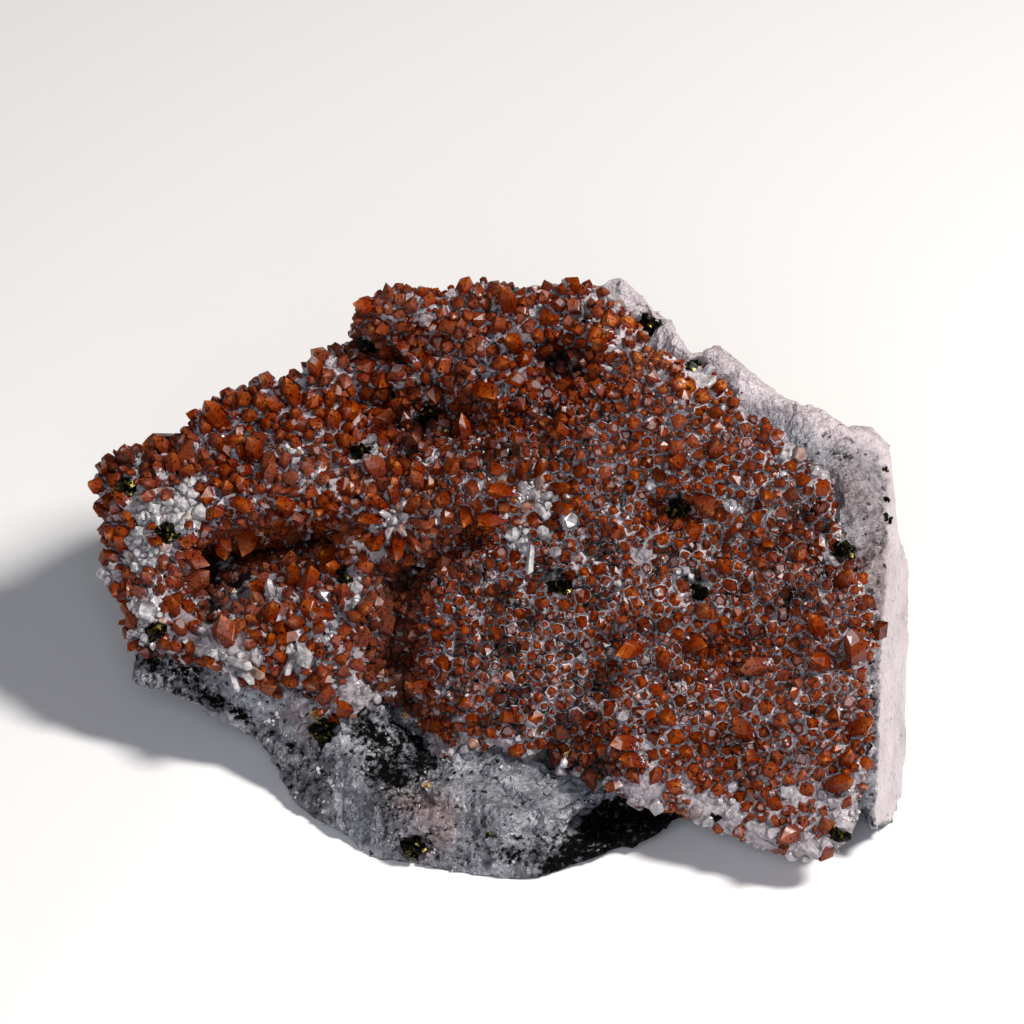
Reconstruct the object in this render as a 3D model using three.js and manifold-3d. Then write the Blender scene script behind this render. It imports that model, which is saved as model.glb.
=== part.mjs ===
// A hand specimen of red quartz with pyrite, in millimetres, +Z up.
//
// A lectern-shaped block of massive vein quartz rests on its flat broken base. Its sloping front carries a
// crust of intergrown, iron-stained quartz crystals, the druse, and sixteen clusters of pyrite cubes sit in
// sockets of the druse and of the block.
//
// The front is described in a leaning frame: u runs to the right, v up the slope and w out of it, towards
// whoever looks at the druse. The foot of the block, where it meets the ground, is at v = 0 and w = 0.

import * as THREE from "three";
import { ConvexGeometry } from "three/addons/geometries/ConvexGeometry.js";
import { ConvexHull } from "three/addons/math/ConvexHull.js";
import { mergeVertices } from "three/addons/utils/BufferGeometryUtils.js";
import Module from "manifold-3d";

const wasm = await Module();
wasm.setup();

// ---- Driving dimensions ---------------------------------------------------------------------------------

const LEAN = THREE.MathUtils.degToRad(35); // w points this far above the horizontal
const CRUST = 5; // thickness of the druse over the block
const LIP = 9.5; // how far back from its surface the druse's border reaches
const EDGE_ROUND = 2.2; // how far the druse drops towards its border
const BLOCK_DEPTH = 90; // how far the block reaches back before it is broken off
const GAP = 0.3; // clearance of the pyrite in its sockets
const SEAT_GAP = 0.4; // clearance of the druse over the block
const BLOCK_GRAIN = 6; // size of the block's facets
const DRUSE_GRAIN = 3.6; // size of the druse's facets
const SLIVER = 0.1; // facets thinner than this are merged into their neighbours
const CRYSTAL_RELIEF = 1.3; // random height of the druse's facets, tip to hollow
const FRACTURE_RELIEF = 0.7; // the same for the block's
const SLOPE_U = 0.19; // rise of the front plane per millimetre to the right
const SLOPE_V = -0.24; // and per millimetre up the slope

// Outline of the block, [u, v], clockwise from the left end.
const BLOCK_OUTLINE = [
  [-58, 56.5], [-56, 60], [-50, 61.3], [-45.5, 65], [-40, 69.4], [-35.5, 71.3], [-31, 71], [-26, 74.4],
  [-21, 77.2], [-19.8, 82], [-17, 84.5], [-10, 84.5], [-5, 84.5], [2, 85.3], [12, 85.5], [17.7, 86.7],
  [21.5, 83.8], [24.5, 80.9], [25.7, 77.6], [27.6, 75.5], [31.3, 76.3], [35.4, 73.5], [41.8, 69], [47.1, 67],
  [50, 65.3], [53.9, 64.8], [56.6, 61.9], [57.9, 50.3], [59.6, 43.8], [60.4, 36.1], [59.9, 32.9], [60, 17],
  [59.8, 8.4], [53.8, 7.4], [52.6, 11.2], [47, 5], [40, 5.8], [33, 8], [26.7, 9], [20.7, 6.2], [13.8, 3.3],
  [6.4, 0.7], [3.6, 0], [-4.4, 0.3], [-11, 2], [-18.9, 2.9], [-22.3, 6.5], [-27.1, 8.6], [-30.2, 11.2],
  [-32.6, 15.8], [-36.5, 20.6], [-41.8, 23.1], [-48.3, 26.5], [-53.2, 28.1], [-54.2, 32], [-54.3, 38],
  [-56.8, 43.5], [-56.8, 48], [-58, 53],
];

// Outline of the druse. Along the top and the left it wraps over the block's edge.
const DRUSE_OUTLINE = [
  [-60, 59], [-58.4, 61], [-55.8, 62.5], [-51.3, 61.4], [-51, 63.6], [-47.1, 63.8], [-46.1, 66.7],
  [-43.1, 69], [-40.5, 71.3], [-37.7, 71.2], [-36.1, 73.1], [-31.6, 72.1], [-29, 74.4], [-26.8, 76.3],
  [-24.1, 78.4], [-21.8, 78], [-22, 81.5], [-20.9, 83.8], [-18.6, 85.4], [-14.6, 86.6], [-9.4, 85.7],
  [-6.7, 86.6], [-2.2, 87.4], [3.6, 86.3], [11.3, 87.4], [14.5, 86.4], [17.7, 83.7], [20.3, 81],
  [22.5, 77.1], [26.1, 75.3], [29.4, 75],
  [32.2, 73.2], [34.1, 69.9], [38, 67.3], [42.3, 64.8], [45.7, 61.6], [48.6, 59.3], [49.6, 54.7], [51, 48.1],
  [53.4, 45.2], [53.9, 40.2], [56, 37], [55.1, 34.4], [53.4, 31.2], [54.1, 25.7], [54.5, 19.9], [53.4, 14.8],
  [52.3, 11.2], [51.8, 7.4], [50.5, 4.8], [46.5, 2.3], [41.2, 3.2], [34.4, 5.7], [29.6, 7.3], [26.7, 9],
  [20.3, 9.6], [17, 12.6], [13.1, 13.3], [8.7, 14.4], [4.4, 16.2], [-0.7, 18.1], [-5.8, 16.2], [-9.4, 16.2],
  [-11.6, 20.6], [-14.5, 23.9], [-18.6, 25.7], [-21.8, 22], [-26.8, 22.5], [-29, 25.7], [-33.4, 27.4],
  [-37.7, 27.8], [-42.8, 30.3], [-48.6, 31.8], [-52.2, 32.2], [-54.1, 32.9], [-55.2, 35.1], [-55.7, 39.7],
  [-58.6, 42.6], [-58.9, 44.1], [-58, 48.1], [-59, 49.7], [-58.5, 52], [-59.7, 53.8],
];

const CENTRE = [-1, 42]; // every outline is seen whole from here

// Swells (height above 0) and hollows (below 0) of the front, each along a line from one [u, v] to another.
const RELIEF = [
  { from: [-24.6, 49.5], to: [-3, 58.5], reach: 5.5, height: 3.6 }, // the central crest, left part
  { from: [-3, 58.5], to: [29, 72.5], reach: 6, height: 3.2 }, // the central crest, right part
  { from: [-20.5, 69], to: [-7, 67], reach: 5, height: -6 }, // the basin behind the crest
  { from: [-4, 66], to: [5, 65], reach: 4, height: -3.5 },
  { from: [8, 75], to: [11, 72], reach: 4, height: -4.5 },
  { from: [-21, 76], to: [-10, 77.5], reach: 2.8, height: -5 }, // the dip under the top lobe
  { from: [-17, 83], to: [-11, 83], reach: 5, height: 3.5 }, // the top lobe
  { from: [-4, 49], to: [-14.5, 42], reach: 3, height: -4.5 }, // the dark valley down the middle
  { from: [-14.5, 42], to: [-15, 32], reach: 4, height: -6 },
  { from: [-15, 32], to: [-10, 20], reach: 3.2, height: -5 },
  { from: [-40, 44], to: [-26, 46], reach: 6, height: -6 }, // the bowl on the left
  { from: [-43.5, 39], to: [-41, 46], reach: 2.6, height: -5 }, // the cleft round the bowl
  { from: [-41, 46.5], to: [-25, 50], reach: 2.2, height: -6 },
  { from: [-50, 40], to: [-52, 56], reach: 6, height: 3 }, // the left lobe
  { from: [-46, 52], to: [-27, 56], reach: 3.6, height: 3 }, // the brow over the cleft
  { from: [-51, 59.5], to: [-49, 62], reach: 1.6, height: -4 }, // the notch in the left shoulder
  { from: [-38, 32], to: [-22, 40], reach: 6, height: 3.2 }, // the bulge below the bowl
  { from: [19, 34], to: [24, 38], reach: 5, height: 1.8 }, // cushions of the right half
  { from: [44, 42], to: [49, 34], reach: 6, height: 2.6 },
  { from: [36, 25], to: [44, 22], reach: 6, height: 2 },
  { from: [28, 62], to: [36, 58], reach: 6, height: 1.8 },
  { from: [20, 22], to: [26, 26], reach: 5, height: 1.6 },
  { from: [38, 47], to: [43, 49], reach: 3.4, height: -2.6 }, // and the dips between them
  { from: [28, 32], to: [34, 33], reach: 3, height: -2.6 },
  { from: [22, 53], to: [27, 53], reach: 3, height: -2.4 },
  { from: [7, 16], to: [12, 20], reach: 3.4, height: -2.6 },
];

// What the block has besides: where it stands proud of the front plane or falls short of it.
const BLOCK_RELIEF = [
  { from: [-14, 7], to: [2, 5], reach: 9, height: 7 }, // the foot
  { from: [-20, 12], to: [-2, 13], reach: 7, height: 3 },
  { from: [-50, 29], to: [-22, 22], reach: 4.5, height: 3.4 }, // the ledge under the druse
  { from: [-36, 21], to: [-12, 17], reach: 1.8, height: -2.2 }, // the seam below the ledge
  { from: [46, 62], to: [52, 52], reach: 5.5, height: 4.6 }, // clear quartz at the right shoulder
  { from: [24, 78], to: [42, 67], reach: 4, height: 3.6 }, // and along the upper right edge
];
const RIGHT_RIM = 51; // beyond this u the block falls away to the right
const RIGHT_FALL = 0.55;

// The planes along which the block broke from its vein: a point on each and its outward normal, in x, y, z.
const FRACTURES = [
  { point: [0, 76, 30], normal: [0.08, 0.98, 0.18] }, // back
  { point: [-46, 70, 30], normal: [-0.6, 0.78, 0.14] }, // back left
  { point: [46, 68, 30], normal: [0.6, 0.78, 0.18] }, // back right
  { point: [55.2, 26, 30], normal: [0.966, -0.211, 0.148] }, // right flank
  { point: [-46, 46, 7], normal: [-0.5, 0.1, -0.86] }, // under the left wing
  { point: [6, 74, 58], normal: [0.12, 0.66, 0.74] }, // behind the top edge
  { point: [-38, 68, 47], normal: [-0.42, 0.62, 0.66] }, // behind the left shoulder
  { point: [44, 60, 46], normal: [0.5, 0.5, 0.7] }, // behind the right shoulder
];

// The cave under the front edge: the corners, in u, v, w, of a convex hollow whose floor stays clear of the
// ground.
const CAVE = [
  [6.5, 3, 14], [8.7, 8.3, 14], [12.3, 10.4, 14], [20.3, 10.9, 14], [26.5, 9.6, 14], [20.7, 7.1, 14],
  [13.8, 4.2, 14], [7.5, 2.2, -0.8], [13.8, 4.2, -3.9], [20.7, 7.1, -8], [25, 8.9, -10.5], [12.3, 10, -12],
  [20.3, 10.5, -12.8],
];

// The clefts that run in under the brow: centre in u, v, size along each axis, turn in the u, v plane and
// dive into the front, both in degrees.
const CLEFTS = [
  { at: [-34, 49.3], size: [8.5, 1.7, 6.5], turn: 12, dive: -24 },
  { at: [-42.4, 43.5], size: [1.7, 6, 5.5], turn: -8, dive: 0 },
  { at: [-14.6, 37], size: [1.8, 7.5, 4.5], turn: 4, dive: 0 },
];

// The larger quartz crystals: [u, v, width, length, lean, direction of lean in the u, v plane in degrees].
const CRYSTALS = [
  [-35.7, 61, 2.8, 5, 42, 95], [-39.9, 35, 3.6, 4.5, 25, 60], [-37.5, 30, 2.9, 7, 66, -32],
  [-28.3, 31.2, 4.1, 5.2, 48, -100], [-46, 47.4, 3.2, 5.2, 55, -48], [-40.4, 49.8, 3, 4.4, 30, -90],
  [-36, 50.2, 3.1, 4.4, 40, -150], [-46, 41.8, 2.6, 5, 58, 55], [-24.6, 46, 4, 4, 12, 30],
  [-28.3, 40.8, 2.4, 5, 58, 55], [-33.3, 37.2, 3.2, 4.2, 20, 0], [-17.3, 58.6, 4.4, 5.2, 40, 140],
  [-18.3, 52.2, 2.8, 4.6, 62, 175], [-17.8, 47.8, 2.6, 4.8, 62, -130], [-11.3, 55, 3, 4, 20, 60],
  [-7.9, 54.8, 4, 4.2, 12, 90], [1, 56, 3, 5.6, 58, 160], [7.7, 56.3, 3, 4.6, 40, 10],
  [4.6, 47.2, 2.4, 5, 60, -88], [8.6, 48, 2.8, 3.6, 14, 50], [19.4, 33.2, 3.8, 4.8, 40, -155],
  [19.2, 19.6, 2.9, 5, 52, 178], [-9.9, 27.5, 2.6, 4, 30, 170], [-11.9, 46, 2.6, 4, 26, -90],
  [29.4, 54.6, 3, 4.8, 46, -10], [31.3, 61.6, 3, 4, 12, 60], [38.3, 55.4, 2.8, 4, 14, -60],
  [32.9, 49.4, 2.6, 4.4, 46, 35], [32.2, 44.4, 3.1, 4, 18, 75], [47.7, 46, 3.2, 4, 20, 40],
  [27, 33.9, 3, 4.4, 44, 30], [38, 30.4, 3.2, 5.2, 54, -158], [50.6, 33, 4, 5.6, 34, 100],
  [47.2, 31.2, 3.6, 4.6, 30, 170], [23.8, 23.4, 3.9, 4.6, 20, -30], [35.5, 21.1, 3.6, 5, 40, 120],
  [47.7, 13.8, 3.2, 4.8, 50, 5], [41.9, 7, 3.1, 4.2, 34, -140], [50.5, 21.9, 3.2, 5, 50, 8],
  [-19, 82.6, 2.6, 3.6, 40, 160], [-14.8, 78.4, 2.6, 4.4, 30, 70], [1.3, 82.4, 3.2, 5, 48, 95],
  [2.5, 77, 3.6, 4.6, 34, 150], [-18.3, 64.8, 3.2, 4.6, 46, 20], [-2.8, 71.4, 3.4, 4.8, 50, 5],
  [-5.2, 63.6, 3.2, 4.2, 30, 90], [-27, 73.6, 2.8, 3.8, 40, 110], [-48.4, 61.4, 2.8, 4, 40, 130],
  [-30, 69, 3, 5, 54, 115], [-41, 66, 3, 5, 58, 125], [-55.6, 50, 3, 3.6, 40, 185],
];
const CRYSTAL_ROOT = 1; // how deep a crystal is rooted in the druse
const CRYSTAL_SEAT = 2.4; // how far below the druse's surface its length is measured from
const CRYSTAL_TIP = 0.5; // height of its pyramid as a share of its width

// The pyrite clusters: node name, [u, v] of the middle, size of its largest cube, number of cubes, its host.
const PYRITES = [
  ["pyrite_top_edge", [21.8, 80.2], 2.8, 5, "block"],
  ["pyrite_upper_right", [28.2, 73.4], 2.3, 3, "block"],
  ["pyrite_left_end", [-55, 56.4], 2.3, 3, "druse"],
  ["pyrite_left_milky", [-48.4, 49.9], 2.1, 4, "druse"],
  ["pyrite_left_low", [-50, 35.6], 2.4, 4, "druse"],
  ["pyrite_bowl_rim", [-22.5, 43.4], 2.4, 4, "druse"],
  ["pyrite_left_slope", [-20.8, 61.6], 2.4, 3, "druse"],
  ["pyrite_top_lobe", [-20, 77.4], 2.3, 3, "druse"],
  ["pyrite_upper_basin", [-10.2, 66.8], 2.5, 3, "druse"],
  ["pyrite_right_crest", [25.6, 53.2], 2.3, 3, "druse"],
  ["pyrite_right_middle", [28.8, 41.4], 2.2, 3, "druse"],
  ["pyrite_middle", [8.7, 42], 2.2, 4, "druse"],
  ["pyrite_right_shoulder", [50.2, 47], 2.5, 3, "druse"],
  ["pyrite_lower_lobe", [48.6, 6.6], 2.3, 3, "druse"],
  ["pyrite_ledge", [-26.4, 21.4], 2.5, 4, "block"],
  ["pyrite_foot", [-12.8, 4.8], 2.2, 4, "block"],
];
const PYRITE_SPREAD = 0.62; // how far its cubes lie from its middle, as a share of the largest cube
const PYRITE_SINK = 0.2; // how far its middle lies below its host's surface, as a share of the largest cube

// ---- The leaning frame and the front surface ------------------------------------------------------------

const AXIS_U = new THREE.Vector3(1, 0, 0);
const AXIS_V = new THREE.Vector3(0, Math.sin(LEAN), Math.cos(LEAN));
const AXIS_W = new THREE.Vector3(0, -Math.cos(LEAN), Math.sin(LEAN));

const place = (u, v, w) =>
  new THREE.Vector3().addScaledVector(AXIS_U, u).addScaledVector(AXIS_V, v).addScaledVector(AXIS_W, w);

// Height at u, v of one swell or hollow: full on its line, fading as a bell over its reach.
function swell(u, v, { from, to, reach, height }) {
  const along = [to[0] - from[0], to[1] - from[1]];
  const length2 = along[0] ** 2 + along[1] ** 2 || 1;
  const share = ((u - from[0]) * along[0] + (v - from[1]) * along[1]) / length2;
  const t = THREE.MathUtils.clamp(share, 0, 1);
  const away = Math.hypot(u - from[0] - t * along[0], v - from[1] - t * along[1]);
  return height * Math.exp(-((away / reach) ** 2));
}

const sum = (features, u, v) => features.reduce((total, feature) => total + swell(u, v, feature), 0);

const druseTop = (u, v) => SLOPE_U * u + SLOPE_V * v + sum(RELIEF, u, v);

function blockTop(u, v) {
  const fall = RIGHT_FALL * Math.max(0, u - RIGHT_RIM);
  return druseTop(u, v) - CRUST + sum(BLOCK_RELIEF, u, v) - fall;
}

// A repeatable random number from 0 to 1 for each seed.
const random = (seed) => THREE.MathUtils.euclideanModulo(Math.sin(seed * 127.1 + 11.7) * 43758.5453, 1);

// ---- Solids ---------------------------------------------------------------------------------------------

// A closed three.js geometry as a solid.
function solid(geometry) {
  const bare = geometry.clone();
  bare.deleteAttribute("normal");
  bare.deleteAttribute("uv");
  const merged = mergeVertices(bare, 1e-4);
  const mesh = new wasm.Mesh({
    numProp: 3,
    vertProperties: merged.attributes.position.array,
    triVerts: new Uint32Array(merged.index.array),
  });
  return new wasm.Manifold(mesh);
}

// A solid as a three.js geometry.
function geometryOf(made) {
  const { vertProperties, triVerts } = made.getMesh();
  return new THREE.BufferGeometry()
    .setAttribute("position", new THREE.BufferAttribute(vertProperties, 3))
    .setIndex(new THREE.BufferAttribute(triVerts, 1));
}

// A solid whose surface lies outside the one given by a margin.
function swollen(made, margin) {
  const geometry = mergeVertices(geometryOf(made), 1e-4);
  geometry.computeVertexNormals();
  const { position, normal } = geometry.attributes;
  const corners = Array.from({ length: position.count }, (_, i) =>
    new THREE.Vector3()
      .fromBufferAttribute(position, i)
      .addScaledVector(new THREE.Vector3().fromBufferAttribute(normal, i), margin),
  );
  return solid(new THREE.BufferGeometry().setFromPoints(corners).setIndex(geometry.index));
}

// The largest of a solid's separate bodies.
const largest = (made) => made.decompose().reduce((a, b) => (b.volume() > a.volume() ? b : a));

// An outline with a point at least every step.
function finer(outline, step) {
  return outline.flatMap(([u, v], i) => {
    const [nextU, nextV] = outline[(i + 1) % outline.length];
    const steps = Math.ceil(Math.hypot(nextU - u, nextV - v) / step);
    return Array.from({ length: steps }, (_, k) => [
      u + ((nextU - u) * k) / steps,
      v + ((nextV - v) * k) / steps,
    ]);
  });
}

// How far a point lies inside an outline; below 0 outside it.
function inside([u, v], outline) {
  let crossings = 0;
  let nearest = Infinity;
  outline.forEach(([u0, v0], i) => {
    const [u1, v1] = outline[(i + 1) % outline.length];
    if (v0 > v !== v1 > v && u < u0 + ((u1 - u0) * (v - v0)) / (v1 - v0)) crossings += 1;
    const length2 = (u1 - u0) ** 2 + (v1 - v0) ** 2;
    const t = THREE.MathUtils.clamp(((u - u0) * (u1 - u0) + (v - v0) * (v1 - v0)) / length2, 0, 1);
    nearest = Math.min(nearest, Math.hypot(u - u0 - t * (u1 - u0), v - v0 - t * (v1 - v0)));
  });
  return crossings % 2 ? nearest : -nearest;
}

// Points of a shaken honeycomb that lie inside an outline, clear of its edge.
function honeycomb(outline, grain) {
  const points = [];
  const rows = 100 / grain;
  for (let row = 0; row < rows; row++) {
    for (let column = -rows; column < rows; column++) {
      const seed = row * 131 + column;
      const u = (column + (row % 2) / 2 + 0.5 * (random(seed) - 0.5)) * grain;
      const v = (row + 0.5 * (random(seed + 0.5) - 0.5)) * grain * 0.87;
      if (inside([u, v], outline) > grain * 0.55) points.push([u, v]);
    }
  }
  return points;
}

// Delaunay triangles of points inside an outline, counter-clockwise, as triples of indices: the lower side of
// the hull of the points lifted onto a bowl.
function triangles(points, outline) {
  const lifted = points.map(([u, v]) => new THREE.Vector3(u, v, (u ** 2 + v ** 2) / 20));
  const order = new Map(lifted.map((point, i) => [point, i]));
  const found = [];
  for (const face of new ConvexHull().setFromPoints(lifted).faces) {
    if (face.normal.z >= 0) continue;
    const first = face.edge;
    const corners = [first, first.next, first.prev].map((edge) => order.get(edge.head().point));
    const middle = [0, 1].map((axis) => corners.reduce((total, i) => total + points[i][axis] / 3, 0));
    if (inside(middle, outline) > 0) found.push([corners[0], corners[2], corners[1]]);
  }
  return found;
}

// A closed body over an outline: a top of facets with their height from topW, and below it the layers of its
// side, each the edge of the top drawn in towards CENTRE to a share of its size and set back by a depth. The
// last layer is closed by a copy of the top's facets.
function faceted(outline, grain, relief, topW, layers) {
  const edge = finer(outline, grain);
  const points = [...edge, ...honeycomb(outline, grain)];
  const top = triangles(points, outline);
  const shake = (i) => (i < edge.length ? 0 : relief * (random(i * 1.7 + grain) - 0.5));
  const corners = points.map(([u, v], i) => place(u, v, topW(u, v) + shake(i)));
  const starts = layers.map(({ share, depth, rough }) => {
    const start = corners.length;
    points.forEach(([u, v], i) => {
      const size = share + rough * (random(i * 3.7 + depth) - 0.5);
      const [inU, inV] = [CENTRE[0] + size * (u - CENTRE[0]), CENTRE[1] + size * (v - CENTRE[1])];
      corners.push(place(inU, inV, topW(u, v) - depth));
    });
    return start;
  });

  const index = top.flat();
  const last = starts.at(-1);
  top.forEach(([a, b, c]) => index.push(last + a, last + c, last + b));
  const sides = [0, ...starts];
  for (const [a, b] of borderOf(top)) {
    for (let level = 0; level + 1 < sides.length; level++) {
      const [above, below] = [sides[level], sides[level + 1]];
      index.push(above + b, above + a, below + a, above + b, below + a, below + b);
    }
  }
  return solid(new THREE.BufferGeometry().setFromPoints(corners).setIndex(index));
}

// The directed edges that only one triangle uses.
function borderOf(faces) {
  const edges = new Map();
  for (const [a, b, c] of faces) {
    for (const [from, to] of [[a, b], [b, c], [c, a]]) edges.set(`${from},${to}`, [from, to]);
  }
  return [...edges.values()].filter(([from, to]) => !edges.has(`${to},${from}`));
}

// Everything on the outer side of one fracture plane, as a large slab.
function beyond({ point, normal }) {
  const size = 400;
  const slab = new THREE.BoxGeometry(size, size, size);
  const out = new THREE.Vector3(...normal).normalize();
  const turn = new THREE.Quaternion().setFromUnitVectors(new THREE.Vector3(0, 0, 1), out);
  slab.translate(0, 0, size / 2).applyQuaternion(turn);
  return solid(slab.translate(...point));
}

// A lens-shaped hollow that dives into the front.
function cleft({ at, size, turn, dive }) {
  const lens = new THREE.SphereGeometry(1, 9, 6).scale(...size);
  lens.rotateX(THREE.MathUtils.degToRad(dive)).rotateZ(THREE.MathUtils.degToRad(turn));
  const frame = new THREE.Matrix4().makeBasis(AXIS_U, AXIS_V, AXIS_W);
  const middle = place(...at, druseTop(...at) - size[2] / 3);
  return solid(lens.applyMatrix4(frame).translate(...middle));
}

// Outward direction of the druse at u, v, from the slope of its surface.
function outward(u, v) {
  const step = 1.5;
  const riseU = (druseTop(u + step, v) - druseTop(u - step, v)) / (2 * step);
  const riseV = (druseTop(u, v + step) - druseTop(u, v - step)) / (2 * step);
  const slope = new THREE.Vector3().addScaledVector(AXIS_U, -riseU).addScaledVector(AXIS_V, -riseV);
  return slope.add(AXIS_W).normalize();
}

// One six-sided crystal with a pyramid on top, rooted in the druse and leaning away from its normal.
function crystal([u, v, width, length, lean, direction]) {
  const radius = width / 2;
  const shoulder = length - width * CRYSTAL_TIP;
  const profile = [[0, -CRYSTAL_ROOT], [radius, -CRYSTAL_ROOT], [radius, shoulder], [0, length]];
  const shape = new THREE.LatheGeometry(profile.map(([r, h]) => new THREE.Vector2(r, h)), 6);
  shape.scale(1, 1, 0.9).rotateY(random(u + v) * Math.PI);
  const towards = THREE.MathUtils.degToRad(direction);
  const sideways = new THREE.Vector3()
    .addScaledVector(AXIS_U, Math.cos(towards))
    .addScaledVector(AXIS_V, Math.sin(towards));
  const steepness = Math.tan(THREE.MathUtils.degToRad(lean) * 0.8);
  const axis = outward(u, v).addScaledVector(sideways, steepness).normalize();
  shape.applyQuaternion(new THREE.Quaternion().setFromUnitVectors(new THREE.Vector3(0, 1, 0), axis));
  return solid(shape.translate(...place(u, v, druseTop(u, v) - CRYSTAL_SEAT)));
}

// The cubes of one pyrite cluster, each grown by a margin, as a single solid.
function pyriteCubes(middle, size, count, seed, margin) {
  const cubes = Array.from({ length: count }, (_, i) => {
    const key = seed * 31 + i * 7;
    const side = i === 0 ? size : size * (0.45 + 0.4 * random(key)); // the first is the largest
    const away = i === 0 ? 0 : size * PYRITE_SPREAD;
    const around = 2 * Math.PI * ((i + random(key + 1) * 0.5) / Math.max(1, count - 1));
    const cube = new THREE.BoxGeometry(side + 2 * margin, side + 2 * margin, side + 2 * margin);
    cube.rotateX(random(key + 2) * Math.PI).rotateY(random(key + 3) * Math.PI);
    const shift = new THREE.Vector3()
      .addScaledVector(AXIS_U, away * Math.cos(around))
      .addScaledVector(AXIS_V, away * Math.sin(around))
      .addScaledVector(AXIS_W, away * 0.3 * (random(key + 4) - 0.5));
    return solid(cube.translate(...shift.add(middle)));
  });
  return cubes.reduce((joined, cube) => joined.add(cube));
}

// ---- The block and the druse ----------------------------------------------------------------------------

const wholeBlock = faceted(BLOCK_OUTLINE, BLOCK_GRAIN, FRACTURE_RELIEF, blockTop, [
  { share: 1, depth: 8, rough: 0.01 },
  { share: 0.985, depth: 20, rough: 0.04 },
  { share: 0.95, depth: 36, rough: 0.05 },
  { share: 0.88, depth: 58, rough: 0.06 },
  { share: 0.78, depth: BLOCK_DEPTH, rough: 0 },
]);

// The druse drops towards its border.
function crustTop(u, v) {
  const fromEdge = Math.max(0, inside([u, v], DRUSE_OUTLINE));
  return druseTop(u, v) - EDGE_ROUND * Math.exp(-fromEdge / 1.5);
}
const wholeDruse = faceted(DRUSE_OUTLINE, DRUSE_GRAIN, CRYSTAL_RELIEF, crustTop, [
  { share: 0.94, depth: LIP, rough: 0 },
]);

const seat = swollen(wholeBlock, SEAT_GAP);
const crystals = CRYSTALS.map((each) => crystal(each).subtract(seat));
let block = wholeBlock;
const bareDruse = wholeDruse.subtract(seat).simplify(1.5 * SLIVER);
let druse = crystals.reduce((crust, each) => crust.add(each), bareDruse);

const ground = beyond({ point: [0, 0, 0], normal: [0, 0, -1] });
const cave = solid(new ConvexGeometry(CAVE.map((corner) => place(...corner))));
for (const cut of [ground, cave, ...FRACTURES.map(beyond), ...CLEFTS.map(cleft)]) {
  block = block.subtract(cut);
  druse = druse.subtract(cut);
}

// ---- The pyrite, each cluster in its own socket ---------------------------------------------------------

const hosts = { block: largest(block).simplify(SLIVER), druse: largest(druse).simplify(SLIVER) };

// The point where a ray along -w meets a host's surface over u, v.
function surfacePoint(host, u, v) {
  const ray = new THREE.Raycaster(place(u, v, 60), AXIS_W.clone().negate());
  const skin = new THREE.Mesh(geometryOf(host), new THREE.MeshBasicMaterial({ side: THREE.DoubleSide }));
  return ray.intersectObject(skin)[0].point;
}

const pyrites = PYRITES.map(([name, [u, v], size, count, host], seed) => {
  const middle = surfacePoint(hosts[host], u, v).addScaledVector(AXIS_W, -size * PYRITE_SINK);
  const cluster = pyriteCubes(middle, size, count, seed + 1, 0);
  const socket = pyriteCubes(middle, size, count, seed + 1, GAP).hull();
  hosts.block = largest(hosts.block.subtract(socket));
  hosts.druse = largest(hosts.druse.subtract(socket));
  return [name, cluster];
});

// ---- The specimen ---------------------------------------------------------------------------------------

const veinQuartz = new THREE.MeshStandardMaterial({ color: 0x9d9aa3, roughness: 0.55, metalness: 0 });
const redQuartz = new THREE.MeshStandardMaterial({ color: 0xa04a1e, roughness: 0.25, metalness: 0 });
const pyriteMetal = new THREE.MeshStandardMaterial({ color: 0x4a4027, roughness: 0.35, metalness: 0.9 });

const specimen = new THREE.Group();
function addPiece(name, made, material) {
  const mesh = new THREE.Mesh(geometryOf(made), material);
  mesh.name = name;
  specimen.add(mesh);
}
addPiece("matrix", hosts.block, veinQuartz);
addPiece("druse", hosts.druse, redQuartz);
pyrites.forEach(([name, made]) => addPiece(name, made, pyriteMetal));

// The origin is at the middle of the specimen's footprint box, on the ground.
const box = new THREE.Box3().setFromObject(specimen, true);
const middle = box.getCenter(new THREE.Vector3());
specimen.position.set(-middle.x, -middle.y, -box.min.z);

export default specimen;
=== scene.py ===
# Red quartz with pyrite: a block of vein quartz that carries a crust of iron-stained quartz crystals.
#
# Sizes are in millimetres until they reach a mesh, which is in metres. The crust is laid out in the leaning
# frame that the block is built in: u to the right, v up the slope, w out of it.

import functools
import itertools
import math

import bpy
import numpy as np
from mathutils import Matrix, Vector, bvhtree, kdtree, noise


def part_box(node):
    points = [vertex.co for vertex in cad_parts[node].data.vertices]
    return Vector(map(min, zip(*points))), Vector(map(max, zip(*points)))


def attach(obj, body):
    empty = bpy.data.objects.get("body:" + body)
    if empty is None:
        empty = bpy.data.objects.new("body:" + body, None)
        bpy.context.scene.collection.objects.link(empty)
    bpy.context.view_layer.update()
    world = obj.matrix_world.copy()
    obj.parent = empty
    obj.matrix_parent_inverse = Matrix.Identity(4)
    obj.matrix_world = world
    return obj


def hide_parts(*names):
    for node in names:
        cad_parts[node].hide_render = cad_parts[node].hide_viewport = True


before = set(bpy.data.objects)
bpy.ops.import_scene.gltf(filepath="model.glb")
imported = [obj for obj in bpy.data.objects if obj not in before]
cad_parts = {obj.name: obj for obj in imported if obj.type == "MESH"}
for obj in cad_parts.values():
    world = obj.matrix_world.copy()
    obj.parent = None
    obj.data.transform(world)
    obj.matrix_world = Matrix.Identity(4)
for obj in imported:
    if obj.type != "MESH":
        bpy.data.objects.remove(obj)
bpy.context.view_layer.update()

MM = 0.001

# ---- The leaning frame, and what lies where in it ----

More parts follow.
